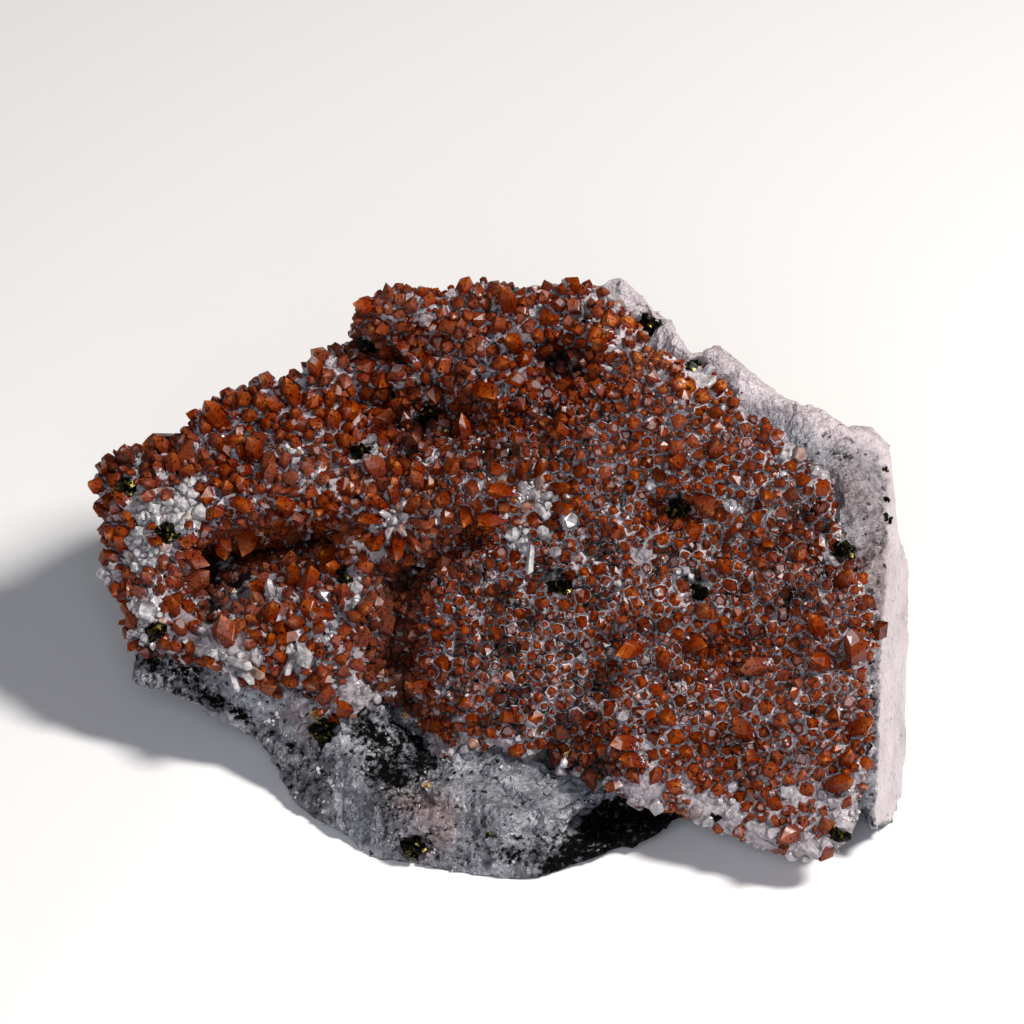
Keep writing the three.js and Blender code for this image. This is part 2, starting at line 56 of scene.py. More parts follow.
LEAN = math.radians(35)
RIGHT = np.array([1.0, 0.0, 0.0])
UPSLOPE = np.array([0.0, math.sin(LEAN), math.cos(LEAN)])
OUTWARD = np.array([0.0, -math.cos(LEAN), math.sin(LEAN)])
ORIGIN = np.array([0.09, -40.0, 0.0])  # where the leaning frame starts
CENTRE = np.array([-1.0, 42.0])  # u, v from which the whole outline is seen

SLOPE_U = 0.19  # how much the crust's w grows with each mm of u, and of v
SLOPE_V = -0.24

# A swell or hollow is given as from u, v, to u, v, reach, height or strength. A patch is given as u, v, reach
# and a strength, which is 1 where it is left out.

RELIEF = [
    (-24.6, 49.5, -3, 58.5, 5.5, 3.6), (-3, 58.5, 29, 72.5, 6, 3.2),  # the crest across the middle
    (-20.5, 69, -7, 67, 5, -6), (-4, 66, 5, 65, 4, -3.5), (8, 75, 11, 72, 4, -4.5),  # the basin behind it
    (-21, 76, -10, 77.5, 2.8, -5), (-17, 83, -11, 83, 5, 3.5),  # the dip and the lobe above it
    (-4, 49, -14.5, 42, 3, -4.5), (-14.5, 42, -15, 32, 4, -6), (-15, 32, -10, 20, 3.2, -5),  # the dark valley
    (-40, 44, -26, 46, 6, -6), (-43.5, 39, -41, 46, 2.6, -5), (-41, 46.5, -25, 50, 2.2, -6),  # bowl and cleft
    (-50, 40, -52, 56, 6, 3), (-46, 52, -27, 56, 3.6, 3), (-51, 59.5, -49, 62, 1.6, -4),  # left lobe and brow
    (-38, 32, -22, 40, 6, 3.2),  # the bulge below the bowl
    (19, 34, 24, 38, 5, 1.8), (44, 42, 49, 34, 6, 2.6), (36, 25, 44, 22, 6, 2),  # cushions of the right half
    (28, 62, 36, 58, 6, 1.8), (20, 22, 26, 26, 5, 1.6),
    (38, 47, 43, 49, 3.4, -2.6), (28, 32, 34, 33, 3, -2.6), (22, 53, 27, 53, 3, -2.4),
    (7, 16, 12, 20, 3.4, -2.6),
]

# Clefts that run deeper into the crust.
CLEFTS = [
    (-43.6, 45.8, -37, 46.6, 1.5, 4), (-37, 46.6, -26, 48.8, 1.6, 4), (-16, 43, -15, 28, 1.6, 1.2),
    (-43.4, 45, -42, 40, 1.3, 1.6),
]

# Outline of the crust, u, v, clockwise from the left end.
OUTLINE = np.array([
    (-60, 59), (-58.4, 61), (-55.8, 62.5), (-51.3, 61.4), (-51, 63.6), (-47.1, 63.8), (-46.1, 66.7),
    (-43.1, 69), (-40.5, 71.3), (-37.7, 71.2), (-36.1, 73.1), (-31.6, 72.1), (-29, 74.4), (-26.8, 76.3),
    (-24.1, 78.4), (-21.8, 78), (-22, 81.5), (-20.9, 83.8), (-18.6, 85.4), (-14.6, 86.6), (-9.4, 85.7),
    (-6.7, 86.6), (-2.2, 87.4), (3.6, 86.3), (11.3, 87.4), (14.5, 86.4), (17.7, 83.7), (20.3, 81),
    (22.5, 77.1), (26.1, 75.3), (29.4, 75), (32.2, 73.2), (34.1, 69.9), (38, 67.3), (42.3, 64.8),
    (45.7, 61.6), (48.6, 59.3), (49.6, 54.7), (51, 48.1), (53.4, 45.2), (53.9, 40.2), (56, 37),
    (55.1, 34.4), (53.4, 31.2), (54.1, 25.7), (54.5, 19.9), (53.4, 14.8), (52.3, 11.2), (51.8, 7.4),
    (50.5, 4.8), (46.5, 2.3), (41.2, 3.2), (34.4, 5.7), (29.6, 7.3), (26.7, 9), (20.3, 9.6), (17, 12.6),
    (13.1, 13.3), (8.7, 14.4), (4.4, 16.2), (-0.7, 18.1), (-5.8, 16.2), (-9.4, 16.2), (-11.6, 20.6),
    (-14.5, 23.9), (-18.6, 25.7), (-21.8, 22), (-26.8, 22.5), (-29, 25.7), (-33.4, 27.4), (-37.7, 27.8),
    (-42.8, 30.3), (-48.6, 31.8), (-52.2, 32.2), (-54.1, 32.9), (-55.2, 35.1), (-55.7, 39.7), (-58.6, 42.6),
    (-58.9, 44.1), (-58, 48.1), (-59, 49.7), (-58.5, 52), (-59.7, 53.8),
])

# Patches of white milky quartz without stain.
MILKY = [
    (6.4, 54.6, 2.6, 0.9), (2.8, 49, 1.8, 0.7), (-47, 52, 3), (-50.6, 52.6, 3), (-50, 47.8, 2.2, 0.95),
    (-52.4, 49.6, 2.6, 0.95), (-52, 46.4, 2.2, 0.9), (-41, 32.6, 2.4, 0.8), (-45.6, 55.8, 2, 0.9),
    (-51, 38.4, 2.6), (-51.6, 35.4, 2.2, 0.95), (-57.3, 43.8, 2, 0.8), (-59, 57.6, 1.8, 0.7),
    (-38, 31, 2.4, 0.9), (-29, 32, 2, 0.8), (-25, 35.4, 2.2, 0.8), (-30, 61.3, 1.8, 0.7),
    (-28, 57.4, 1.8, 0.7), (26.4, 43.4, 2, 0.5), (16.4, 85, 3, 0.7), (31, 74.4, 2, 0.6),
    (-42, 41, 1.6, 0.5), (-32.6, 40.4, 1.6, 0.7), (-21.6, 42, 1.8, 0.6), (-15.6, 51.4, 2.6), (5, 55.2, 2),
    (-17.8, 60.6, 1.8, 0.7), (-38.6, 36.6, 1.4, 0.6), (9.4, 52, 1.8, 0.5), (-12, 49.4, 1.8, 0.5),
]

# Patches of bare grey quartz where the stained crystals thin out.
BARE = [
    (-42, 34.5, 4.2), (-38, 33.6, 3, 0.9), (-37, 42, 3.6, 0.9), (-39, 39.6, 3, 0.8), (-31, 44, 2.6, 0.7),
    (-52, 43.6, 2, 0.6), (-36, 30.6, 2.6, 0.7), (21, 13, 3.4), (28, 12, 3, 0.9), (42, 12, 3.4),
    (46, 12, 3, 0.9), (21, 47, 3, 0.8), (28.5, 47, 2.4, 0.6), (-21, 27, 3.6), (15, 19, 2.4, 0.7),
    (21.5, 19.5, 2.8, 0.8), (14.5, 25.6, 2, 0.5), (21, 40, 2, 0.5), (-20.6, 46.4, 2.6, 0.6),
    (-44.5, 40, 2.4, 0.8), (-28, 35, 2.2, 0.6), (-33, 33.4, 2, 0.5), (-30, 37.6, 2, 0.5),
    (20, 25, 2.6, 0.7), (24, 20, 2.4, 0.6), (22, 16, 2.4, 0.7), (-16, 83, 3, 0.5), (-10, 80, 3, 0.4),
    (-14, 86, 2.2, 0.7), (10, 87, 2.4, 0.7), (-3, 87, 2, 0.7), (-20, 80, 2, 0.5), (40, 9.4, 3, 0.7),
    (46, 9, 3, 0.7), (33, 12.4, 2.6, 0.6), (50.6, 12, 2.6, 0.8), (24, 13.6, 2.6, 0.7), (38, 14, 2, 0.6),
    (50.6, 52.6, 4.4), (29, 10.6, 3.6), (37.6, 6.4, 4.2), (44, 4.4, 4.6), (49.4, 8.6, 4), (22, 11, 3),
    (51.6, 15.5, 2.2, 0.8), (33, 8.4, 3), (-18.9, 25, 4.2), (-14.2, 20.6, 4.2), (-22.4, 27, 3, 0.9),
    (-9, 18.4, 3.4), (-4.4, 18.8, 3.6), (0.6, 18.8, 3.2), (5.4, 17, 3.2), (10, 15, 3, 0.9),
    (15, 13.4, 2.6, 0.9), (19.6, 12.6, 3.2), (33, 9.6, 3.4), (35.4, 68, 2.8, 0.9), (42.4, 63, 3),
    (47, 58.6, 3.4), (26, 77, 2.6, 0.8), (-38, 42.4, 4.6, 0.65), (-41, 38.4, 3, 0.8),
    (-33.4, 43.6, 2.6, 0.8), (-43, 29, 3, 0.8), (-41, 33, 2.4, 0.6), (-48, 31, 2.6, 0.8),
    (-10, 24, 2.4, 0.6), (-17, 56.6, 1.8, 0.4), (4, 86.6, 2.6, 0.7), (-7, 85.6, 2, 0.6),
    (52.6, 42, 1.8, 0.7), (25, 52, 1.8, 0.5), (20, 47, 2, 0.4), (15, 39, 2, 0.4), (-3.4, 38, 2, 0.4),
    (9.6, 50, 1.6, 0.4), (17, 22.6, 2, 0.5), (32, 26.6, 2, 0.4), (-26.6, 63.4, 2, 0.4), (-21, 61, 2.2, 0.6),
    (37, 12, 2.4, 0.5), (24, 17, 2, 0.4), (42, 57, 2.4, 0.5), (51.4, 48, 2.4, 0.6), (29, 68, 2, 0.4),
    (-28, 44, 2.4, 0.5), (-24, 71, 2, 0.4), (-45, 60.6, 1.8, 0.4),
]

# Patches where the stain is weak and the crystals look greyish brown.
VEILED = [
    (-44, 46, 5), (-35, 51, 4), (-37, 42, 6, 1.8), (-40, 36, 4, 1.4), (-15, 42, 5, 1.6), (-16, 34, 5, 1.8),
    (-15, 27, 5, 1.8), (-41, 40, 4, 1.6), (-30, 47, 4, 1.2), (-10, 45, 4, 1.2), (-50, 56, 4), (-52, 42, 4),
    (-29, 60, 4), (-24, 76, 5), (-16, 84, 5), (2, 84, 6), (42, 40, 5, 0.8), (46, 26, 5, 0.8),
    (35, 54, 4, 0.6), (44, 8, 8, 1.4), (30, 10, 5, 1.2), (-22, 53, 4, 0.8), (-56, 52, 3), (47, 36, 4),
    (20, 70, 5, 0.6), (-10, 74, 5, 0.8),
]

# Patches where the stain is light and golden. Along the upper right edge the paler colour is also painted
# light, for the strong light that falls there.
GOLDEN_AND_PAINTED_LIGHT = [
    (17, 79, 4), (21, 76, 3.6), (25, 73, 3.6), (28.4, 74.6, 3.4), (20, 81.5, 3, 0.9), (30, 70.6, 3, 0.8),
    (2, 55, 4, 0.8), (-13, 54.6, 4.6, 0.9), (-20, 57, 4, 0.5),
]

# Patches where the clear margins are paler: partly milky, and partly painted light that lifts the shade in
# the grooves between the crystals.
HAZY_AND_LIT_MARGINS = [
    (24, 28, 7, 0.4), (36, 22, 8, 0.4), (46, 30, 6, 0.4), (33, 42, 6, 0.45), (40, 55, 8, 0.35),
    (20, 22, 5, 0.5), (29, 10, 8, 0.5), (44, 10, 8, 0.5), (14, 84, 6, 0.5), (-20, 47, 4, 0.6),
    (-13, 54, 4, 0.6), (0.6, 54, 4, 0.6), (28, 54, 4, 0.5), (28, 47, 4, 0.6), (-55, 54, 4, 0.6),
    (-14, 84, 4, 0.4), (24, 63, 5, 0.3), (-36, 34, 6, 0.4), (8, 35, 11, 0.3), (-2, 29, 7, 0.25),
    (27, 74.5, 4.5),
]

# Patches where the clear margins are wide and pitted.
NETTED = [
    (0, 36, 9), (8, 27, 10), (14, 40, 8, 0.9), (24, 30, 8, 0.8), (6, 47, 8, 0.8), (34, 44, 9, 0.7),
    (40, 52, 6, 0.5), (-3, 61, 6, 0.6), (10, 62, 5, 0.5), (44, 30, 6, 0.5), (26, 46, 6, 0.8),
    (18, 54, 6, 0.6),
]

# Patches where the crystals stay small.
FINE = [
    (-18, 37, 3.4), (-17.4, 32, 3.6), (-17, 28, 3), (-12, 40, 4, 0.8), (-11, 32, 4, 0.8), (-37, 43.4, 3.6),
    (-42, 38, 3, 0.8), (-8, 46, 3, 0.8), (-15, 62, 2.6, 0.8), (-52, 56, 3, 0.6),
]

# Patches where the crust is painted darker: partly dirt and iron oxide, and partly painted shade, black in
# the cleft under the brow and dark down the valley.
DIRT_AND_SHADE_PATCHES = [
    (-16.6, 69, 3.4, 0.7), (-10.6, 66.5, 3, 1.1), (-6, 66.5, 3, 0.5), (-8, 64.4, 2.4, 0.9),
    (-13.6, 67, 2.2, 0.8), (14.4, 47.6, 2.4, 0.9), (-3.6, 48.6, 2), (14, 40.4, 2.2, 0.9), (42, 40.6, 2.4),
    (0.6, 40, 2.2, 0.9), (0.4, 33.4, 2.2, 0.9), (-20, 34, 2.2, 0.9), (-27.6, 26.6, 1.6, 0.9),
    (1, 26, 2.2, 0.9), (-13.4, 61.4, 2.4), (1, 61.4, 2.4), (7.4, 60.6, 2, 0.8), (9.4, 74.6, 3.2, 1.1),
    (-18.5, 77, 2.6, 0.8), (7.4, 16.6, 3), (15, 27.6, 2), (12.4, 24, 1.6, 0.9), (6, 44.6, 1.8, 0.8),
    (4.6, 37.4, 1.5, 0.9), (10.6, 33.4, 1.6, 0.9), (16, 30, 1.5, 0.8), (-5, 33, 1.8, 0.8),
    (-6, 27, 1.8, 0.8), (3, 27.6, 1.6, 0.8), (-15.4, 42, 3, 0.9), (-14.8, 37, 3, 0.9), (-14.4, 31, 3, 0.9),
    (-14, 25, 2.8, 0.9), (-10.6, 45.6, 2.2, 0.7), (-19, 36.4, 2.4, 0.6), (-18.6, 31.6, 2.6, 0.7),
    (-18, 28, 2.2, 0.7), (-12.6, 43.6, 3, 1.2), (-38, 45, 3, 0.5), (-12.6, 40, 2.4, 0.7),
    (-12.4, 34, 2.2, 0.7), (-1.4, 64, 2.6, 0.7), (-2, 23, 2, 0.7), (-5, 50, 1.8, 0.7), (-43, 46, 2.2, 1.4),
    (-40, 46.2, 2.2, 1.2), (-37, 46.6, 2, 1.1), (-34, 47, 2, 1.1), (-31, 47.6, 2, 1.1),
    (-28, 48.4, 2.2, 1.4), (-25.6, 49, 1.6, 0.9), (-42.8, 42.6, 2, 1.2), (-43, 38.6, 2, 0.8),
    (-38.5, 43.6, 3.6, 0.7), (-41.5, 38, 2.6, 0.6), (6.8, 76, 2.2, 0.8), (-6, 46.4, 2.6, 0.7),
    (-51, 31.4, 3, 0.9), (-45, 31, 2.4, 0.7), (-53, 61, 2.6, 0.6), (10, 18, 3.4, 0.85),
    (14, 15.6, 2.8, 0.9), (2.4, 21.6, 1.6), (14, 27.8, 1.7), (-2, 61, 2.4, 0.9), (-3, 44, 2, 0.8),
    (2, 33, 1.5, 0.8), (9, 23.4, 1.5, 0.8), (16, 34, 1.5, 0.8), (24.4, 53.4, 2, 0.9), (30, 33, 2, 0.6),
    (41, 48, 2.4, 0.6), (50.6, 46.6, 2.4, 0.7), (16, 46, 2.4, 0.5), (-1, 36, 3, 0.5), (20, 16, 1.6, 0.5),
    (-20, 72.6, 2, 0.3), (22, 58, 1.8, 0.6), (12, 50, 1.8, 0.6), (4, 43, 1.8, 0.6), (14, 41, 1.6, 0.6),
    (21, 31, 1.8, 0.6), (33, 41, 1.8, 0.6), (6, 30, 1.6, 0.6), (16, 21, 2, 0.6), (35, 14, 1.8, 0.6),
    (43, 18, 1.8, 0.6), (30, 24, 1.8, 0.6), (36, 36, 1.6, 0.6), (43, 52, 2.2, 0.7), (48, 43, 2.2, 0.7),
    (17, 68, 2.2, 0.6), (-2, 60, 1.8, 0.5), (-8, 57, 1.6, 0.5), (-2, 31, 2, 0.6), (-56.8, 36, 2, 0.6),
    (-57, 59.6, 2, 0.7), (3, 67, 3, 0.6), (12, 27, 2, 0.5), (26, 24.6, 1.8, 0.5), (45.6, 44.6, 2, 0.5),
]

# Deep pockets between the crystals, painted black: partly oxide in them, and partly the shade that falls in
# them.
OXIDE_AND_SHADE_POCKETS = [
    (7.8, 75, 2.4, 1.2), (-10.7, 66, 2.8, 1.1), (-15, 66.6, 2.2), (11.8, 81.5, 1.3, 1.1),
    (7.8, 67.5, 1.2, 1.1), (-15, 75, 1.6), (-21, 78, 1.3, 0.9), (25.4, 53.4, 1.9, 1.1), (44, 52.6, 1.6),
    (47, 51, 1.4), (49.9, 47, 1.7, 1.1), (28, 43.3, 1.4, 1.1), (41.7, 41.3, 1.3), (-6, 62.6, 1.4, 0.9),
    (14.2, 27.4, 1.3), (2.6, 33.6, 1.1, 0.9), (9, 43.8, 1.2, 0.9), (-3.4, 44, 1.2, 0.9),
    (20.6, 36.6, 1.1, 0.8), (34, 30.6, 1.1, 0.8),
]

# Swells along the block's broken rim above and right of the crust, where it is fresh and pale.
FRESH_RIM = [
    (16.7, 88, 24, 80.4, 3.2, 1), (24, 80.4, 29.6, 77.6, 3, 1), (29.6, 77.6, 38.4, 72.6, 3.6, 1),
    (38.4, 72.6, 48.6, 66.6, 3.6, 1), (48.6, 66.6, 55.6, 64.4, 3, 1), (55.6, 64.4, 58.4, 59, 2.2, 1),
    (58.4, 59, 59, 10, 1.6, 0.8),
]

# Dirt-filled seams and specked zones of the block.
BLOCK_DARK = [
    (-22, 24, -10, 20, 3.4, 0.5), (-36, 20, -30, 10, 2.6, 0.4), (-14, 8, -4, 6, 2.4, 0.3),
    (-50, 29, -38, 24, 2, 0.4), (-54, 32, -44.6, 29.6, 1.4, 1.2), (-43, 26.4, -31, 19, 1, 0.8),
    (-31, 19, -24.6, 14.6, 1, 0.7), (-19.4, 22.4, -16.4, 16.4, 2.8, 0.8), (-15, 21, -11, 16, 2.2, 0.6),
    (-20, 16, -12, 13, 1.8, 0.6), (-21, 19, -12, 17, 3, 0.3), (-10, 5, -5, 2.4, 1.8, 0.6),
    (0, 3.6, 6, 3, 1.8, 0.7), (-29.4, 13, -26, 9, 1.2, 0.5), (-50, 28, -44, 25, 0.8, 0.6),
    (-24, 6, -17, 2, 0.9, 0.6), (56, 47.4, 56.2, 45.4, 0.8, 0.9), (4, 3.6, 10, 7, 2.6, 0.5),
    (53, 56, 54.6, 47, 1.6, 0.35), (-16, 26, -8, 14.6, 0.9, 0.5), (1, 5, 9, 7, 2.6, 0.34),
    (-46, 28.6, -36, 22, 0.6, 0.5),
]

# Paler glassy parts of the block, and parts stained a faint rose.
BLOCK_PALE = [
    (-2, 13, 5, 14, 2.8, 0.6), (-23, 9.6, -20, 7, 2, 0.6), (-40, 27.4, -33, 25, 2.4, 0.6),
    (8, 12, 13, 12.6, 2, 0.4), (-11, 9, -8, 13, 2, 0.4), (-52, 29, -49, 27, 1.4, 0.5),
    (42, 65, 50, 60, 3.4, 0.5),
]
BLOCK_ROSE = [
    (51, 58, 55.6, 46, 4.4, 0.45), (56, 44, 57, 24, 3, 0.5), (-13, 11, -9, 10, 2.6, 0.8),
    (-12, 4.6, -8, 6, 2, 0.6), (-30, 24, -28, 21, 1.6, 0.5),
]


def swell(u, v, features):
    """The summed height of swells and hollows at u, v, each a bell round its line."""
    total = np.zeros_like(u)
    for u0, v0, u1, v1, reach, height in features:
        length2 = (u1 - u0) ** 2 + (v1 - v0) ** 2
        t = np.clip(((u - u0) * (u1 - u0) + (v - v0) * (v1 - v0)) / length2, 0, 1)
        away2 = (u - u0 - t * (u1 - u0)) ** 2 + (v - v0 - t * (v1 - v0)) ** 2
        total += height * np.exp(-away2 / reach**2)
    return total


def patch(u, v, patches):
    """How far u, v lies in any of some round patches."""
    best = np.zeros_like(u)
    for u0, v0, reach, *strength in patches:
        bell = np.exp(-(((u - u0) ** 2 + (v - v0) ** 2) / reach**2))
        best = np.maximum(best, bell * (strength[0] if strength else 1))
    return best


def rise(value, start, end):
    """0 up to a start, then evenly up to 1 at an end, which may lie below the start."""
    return np.clip((value - start) / (end - start), 0, 1)


def crust_height(u, v):
    """w of the crust's outermost tips at u, v."""
    return SLOPE_U * u + SLOPE_V * v + swell(u, v, RELIEF)


def lying_over(u, v):
    """How far the crystals lie over, from 0 where they stand end-on to 1 on the left of the crust."""
    return np.maximum.reduce([rise(u, -5, -17), 0.8 * rise(v, 64, 74), 0.35 * rise(v, 24, 12)])


def dirt_and_shade_at(points):
    """How dark the crust is painted at points: in the patches of dirt and painted shade, and in small pits
    over the middle that are partly dirt and partly painted shade.
    """
    u, v, w = lean(points).T
    pitted = np.maximum(patch(u, v, NETTED), 0.5 - 0.4 * lying_over(u, v))
    return np.maximum(patch(u, v, DIRT_AND_SHADE_PATCHES), np.clip((grain(points, 1.5, 31.0) - 0.04) * 4, 0, 1) * pitted)


def place(u, v, w):
    """Points in the model's frame."""
    return ORIGIN + np.outer(u, RIGHT) + np.outer(v, UPSLOPE) + np.outer(w, OUTWARD)


def lean(points):
    """u, v, w of points in the model's frame."""
    return (points - ORIGIN) @ np.stack([RIGHT, UPSLOPE, OUTWARD], 1)


def unit(vectors):
    """Vectors with a length of 1."""
    return vectors / np.maximum(np.linalg.norm(vectors, axis=-1, keepdims=True), 1e-9)


# ---- Meshes ----


def grain(points, size, seed=0.0):
    """Smooth noise from -1 to 1 at points, with lumps of about that size."""
    return np.array([noise.noise(Vector(p) / size + Vector((seed, seed, seed))) for p in points])


def broken(points, size, seed=0.0):
    """The height of a surface broken into tilted flat facets of about that size, from -0.5 to 0.5."""
    heights = np.empty(len(points))
    for i, point in enumerate(points):
        at = Vector(point) / size + Vector((seed, -seed, seed))
        cell = noise.voronoi(at)[1][0]
        heights[i] = (at - cell).dot(noise.cell_vector(cell * 7.31) - Vector((0.5, 0.5, 0.5)))
    return heights


def new_object(name, data):
    """An object in the scene."""
    thing = bpy.data.objects.new(name, data)
    bpy.context.scene.collection.objects.link(thing)
    return thing


def make_piece(name, points, faces, material, slot, smooth=False, **attributes):
    """A mesh piece in metres, with a value at each point for its material, riding on the specimen."""
    mesh = bpy.data.meshes.new(name)
    mesh.from_pydata((points * MM).tolist(), [], faces.tolist() if hasattr(faces, "tolist") else faces)
    for key, values in attributes.items():
        layer = mesh.attributes.new(key, "FLOAT", "POINT")
        layer.data.foreach_set("value", np.asarray(values, dtype=np.float32))
    mesh.polygons.foreach_set("use_smooth", [smooth] * len(mesh.polygons))
    mesh.materials.append(material)
    mesh.update()
    piece = new_object(name, mesh)
    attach(piece, "root")
    return piece


def nearest(points):
    """A tree that finds the points nearest to a place."""
    tree = kdtree.KDTree(len(points))
    for i, point in enumerate(points):
        tree.insert(point, i)
    tree.balance()
    return tree


# ---- The form of the crust ----

BED_DEPTH = 1.15  # how far below the tips the bed lies where crystals stand end-on
LYING_DEPTH = 0.75  # how much deeper it lies where they lie over
FILLED = 0.8  # how much of that depth bare and milky quartz fills
BED_INSET = 1.1  # how far inside the outline the bed ends
BORDER = 1.6  # how far the bed sinks at its border, and over what width
COLUMNS = 560
RINGS = 104
LIP_STEPS = 12  # rings of the lip that bends back from the border to the block
LIP_DEPTH = 8.5
LIP_TAPER = 0.05


def bed_height(u, v):
    """w of the bed the crystals grow from: nearer the tips where bare quartz swells up."""
    depth = BED_DEPTH + LYING_DEPTH * lying_over(u, v)
    filled = np.maximum(patch(u, v, BARE), patch(u, v, MILKY))
    return crust_height(u, v) - depth * (1 - FILLED * filled) - swell(u, v, CLEFTS)


def outline_radius(angles):
    """Distance from CENTRE to the outline in each direction."""
    ends = np.roll(OUTLINE, -1, axis=0)
    t = np.linspace(0, 1, 24, endpoint=False)[None, :, None]
    dense = (OUTLINE[:, None] * (1 - t) + ends[:, None] * t).reshape(-1, 2) - CENTRE
    around = np.arctan2(dense[:, 1], dense[:, 0])
    order = np.argsort(around)
    return np.interp(angles, around[order], np.hypot(*dense.T)[order], period=2 * math.pi)


def crust_form():
    """Points, quads and normals of the crust's smooth bed, in rings from the middle out to its lip."""
    angles = np.linspace(-math.pi, math.pi, COLUMNS, endpoint=False)
    radius = outline_radius(angles) - BED_INSET
    points = []
    for ring in range(RINGS + LIP_STEPS):
        share = min(1.0, (ring + 0.5) / (RINGS - 0.5)) ** 0.8
        back = max(0, ring - RINGS + 1) / LIP_STEPS
        u = CENTRE[0] + np.cos(angles) * radius * share
        v = CENTRE[1] + np.sin(angles) * radius * share
        border = BORDER * np.exp(-(1 - share) * radius / BORDER)
        w = bed_height(u, v) - border - LIP_DEPTH * back**1.4
        inward = 1 - LIP_TAPER * back
        points.append(place(CENTRE[0] + (u - CENTRE[0]) * inward, CENTRE[1] + (v - CENTRE[1]) * inward, w))
    points = np.concatenate(points)
    row, column = np.meshgrid(np.arange(RINGS + LIP_STEPS - 1) * COLUMNS, np.arange(COLUMNS), indexing="ij")
    beside = (column + 1) % COLUMNS
    quads = [row + column, row + COLUMNS + column, row + COLUMNS + beside, row + beside]
    quads = np.stack(quads, -1).reshape(-1, 4)
    return points, quads, vertex_normals(points, quads)


def crossed(points, quads):
    """The cross product of each quad's diagonals."""
    a, b, c, d = (points[quads[:, k]] for k in range(4))
    return np.cross(c - a, d - b)


def vertex_normals(points, quads):
    """Area-weighted normals of a mesh of quads."""
    normals = np.zeros_like(points)
    for k in range(4):
        np.add.at(normals, quads[:, k], crossed(points, quads))
    return unit(normals)


def scatter(form, count, rng):
    """Points spread evenly over a form, with their normals."""
    points, quads, normals = form
    area = np.linalg.norm(crossed(points, quads), axis=1)
    chosen = rng.choice(len(quads), count, p=area / area.sum())
    s, t = rng.random((2, count, 1))
    blend = [(1 - s) * (1 - t), s * (1 - t), s * t, (1 - s) * t]
    where, facing = (sum(at[quads[chosen, k]] * blend[k] for k in range(4)) for at in (points, normals))
    return where, unit(facing)


class Packing:
    """Room taken by crystals, so that each new one keeps clear of those before it."""

    CELL = 3.6  # at least as wide as the widest gap that is kept

    def __init__(self):
        self.cells = {}

    def takes(self, point, radius, closeness):
        """Adds a crystal if it keeps its distance: the sum of both radii times closeness."""
        key = tuple(int(math.floor(x / self.CELL)) for x in point)
        for step in itertools.product((-1, 0, 1), repeat=3):
            for other, taken in self.cells.get((key[0] + step[0], key[1] + step[1], key[2] + step[2]), ()):
                gap = (radius + taken) * closeness
                away2 = (point[0] - other[0]) ** 2 + (point[1] - other[1]) ** 2 + (point[2] - other[2]) ** 2
                if away2 < gap * gap:
                    return False
        self.cells.setdefault(key, []).append((tuple(point), radius))
        return True


# ---- Crystals ----

SUTURE = 0.1  # bed left open between two crystals
BLUNT = 0.17  # share of crystals whose point ends in a flat face
CLEAR_TIP = 0.7  # share of those whose flat face is clear, painted a paler grey-pink that partly stands for the light it reflects
CORNERS = 25  # points of one crystal: four rings of six and the tip
SIDES = 42  # triangles of one crystal


def fitted_corners(foot, radius, spokes, wanted):
    """How far each crystal's corners reach: as far as wanted, or to where its neighbours begin."""
    tree = nearest(foot)
    reach = np.empty(spokes.shape[:2])
    for i, point in enumerate(foot):
        near = [j for _, j, _ in tree.find_n(point, 10) if j != i]
        across = foot[near] - point
        away = np.maximum(np.linalg.norm(across, axis=1), 0.05)
        middle = away * radius[i] / (radius[i] + radius[near])
        along = spokes[i] @ (across / away[:, None]).T
        limit = np.where(along > 0.2, middle / np.maximum(along, 0.2), 9)
        reach[i] = limit.min(axis=1) - SUTURE / 2
    return np.clip(np.minimum(reach, wanted * 1.34), 0.55 * radius[:, None], None)


def crystal_sides(count):
    """Triangles of that many crystals, each of rings of six points and the tip."""
    k = np.arange(6)
    beside = (k + 1) % 6
    sides = [np.stack([k + ring, beside + ring, beside + ring + 6], 1) for ring in (0, 6, 12)]
    sides += [np.stack([k + ring, beside + ring + 6, k + ring + 6], 1) for ring in (0, 6, 12)]
    sides.append(np.stack([k + 18, beside + 18, k * 0 + 24], 1))
    return (np.concatenate(sides)[None] + CORNERS * np.arange(count)[:, None, None]).reshape(-1, 3)


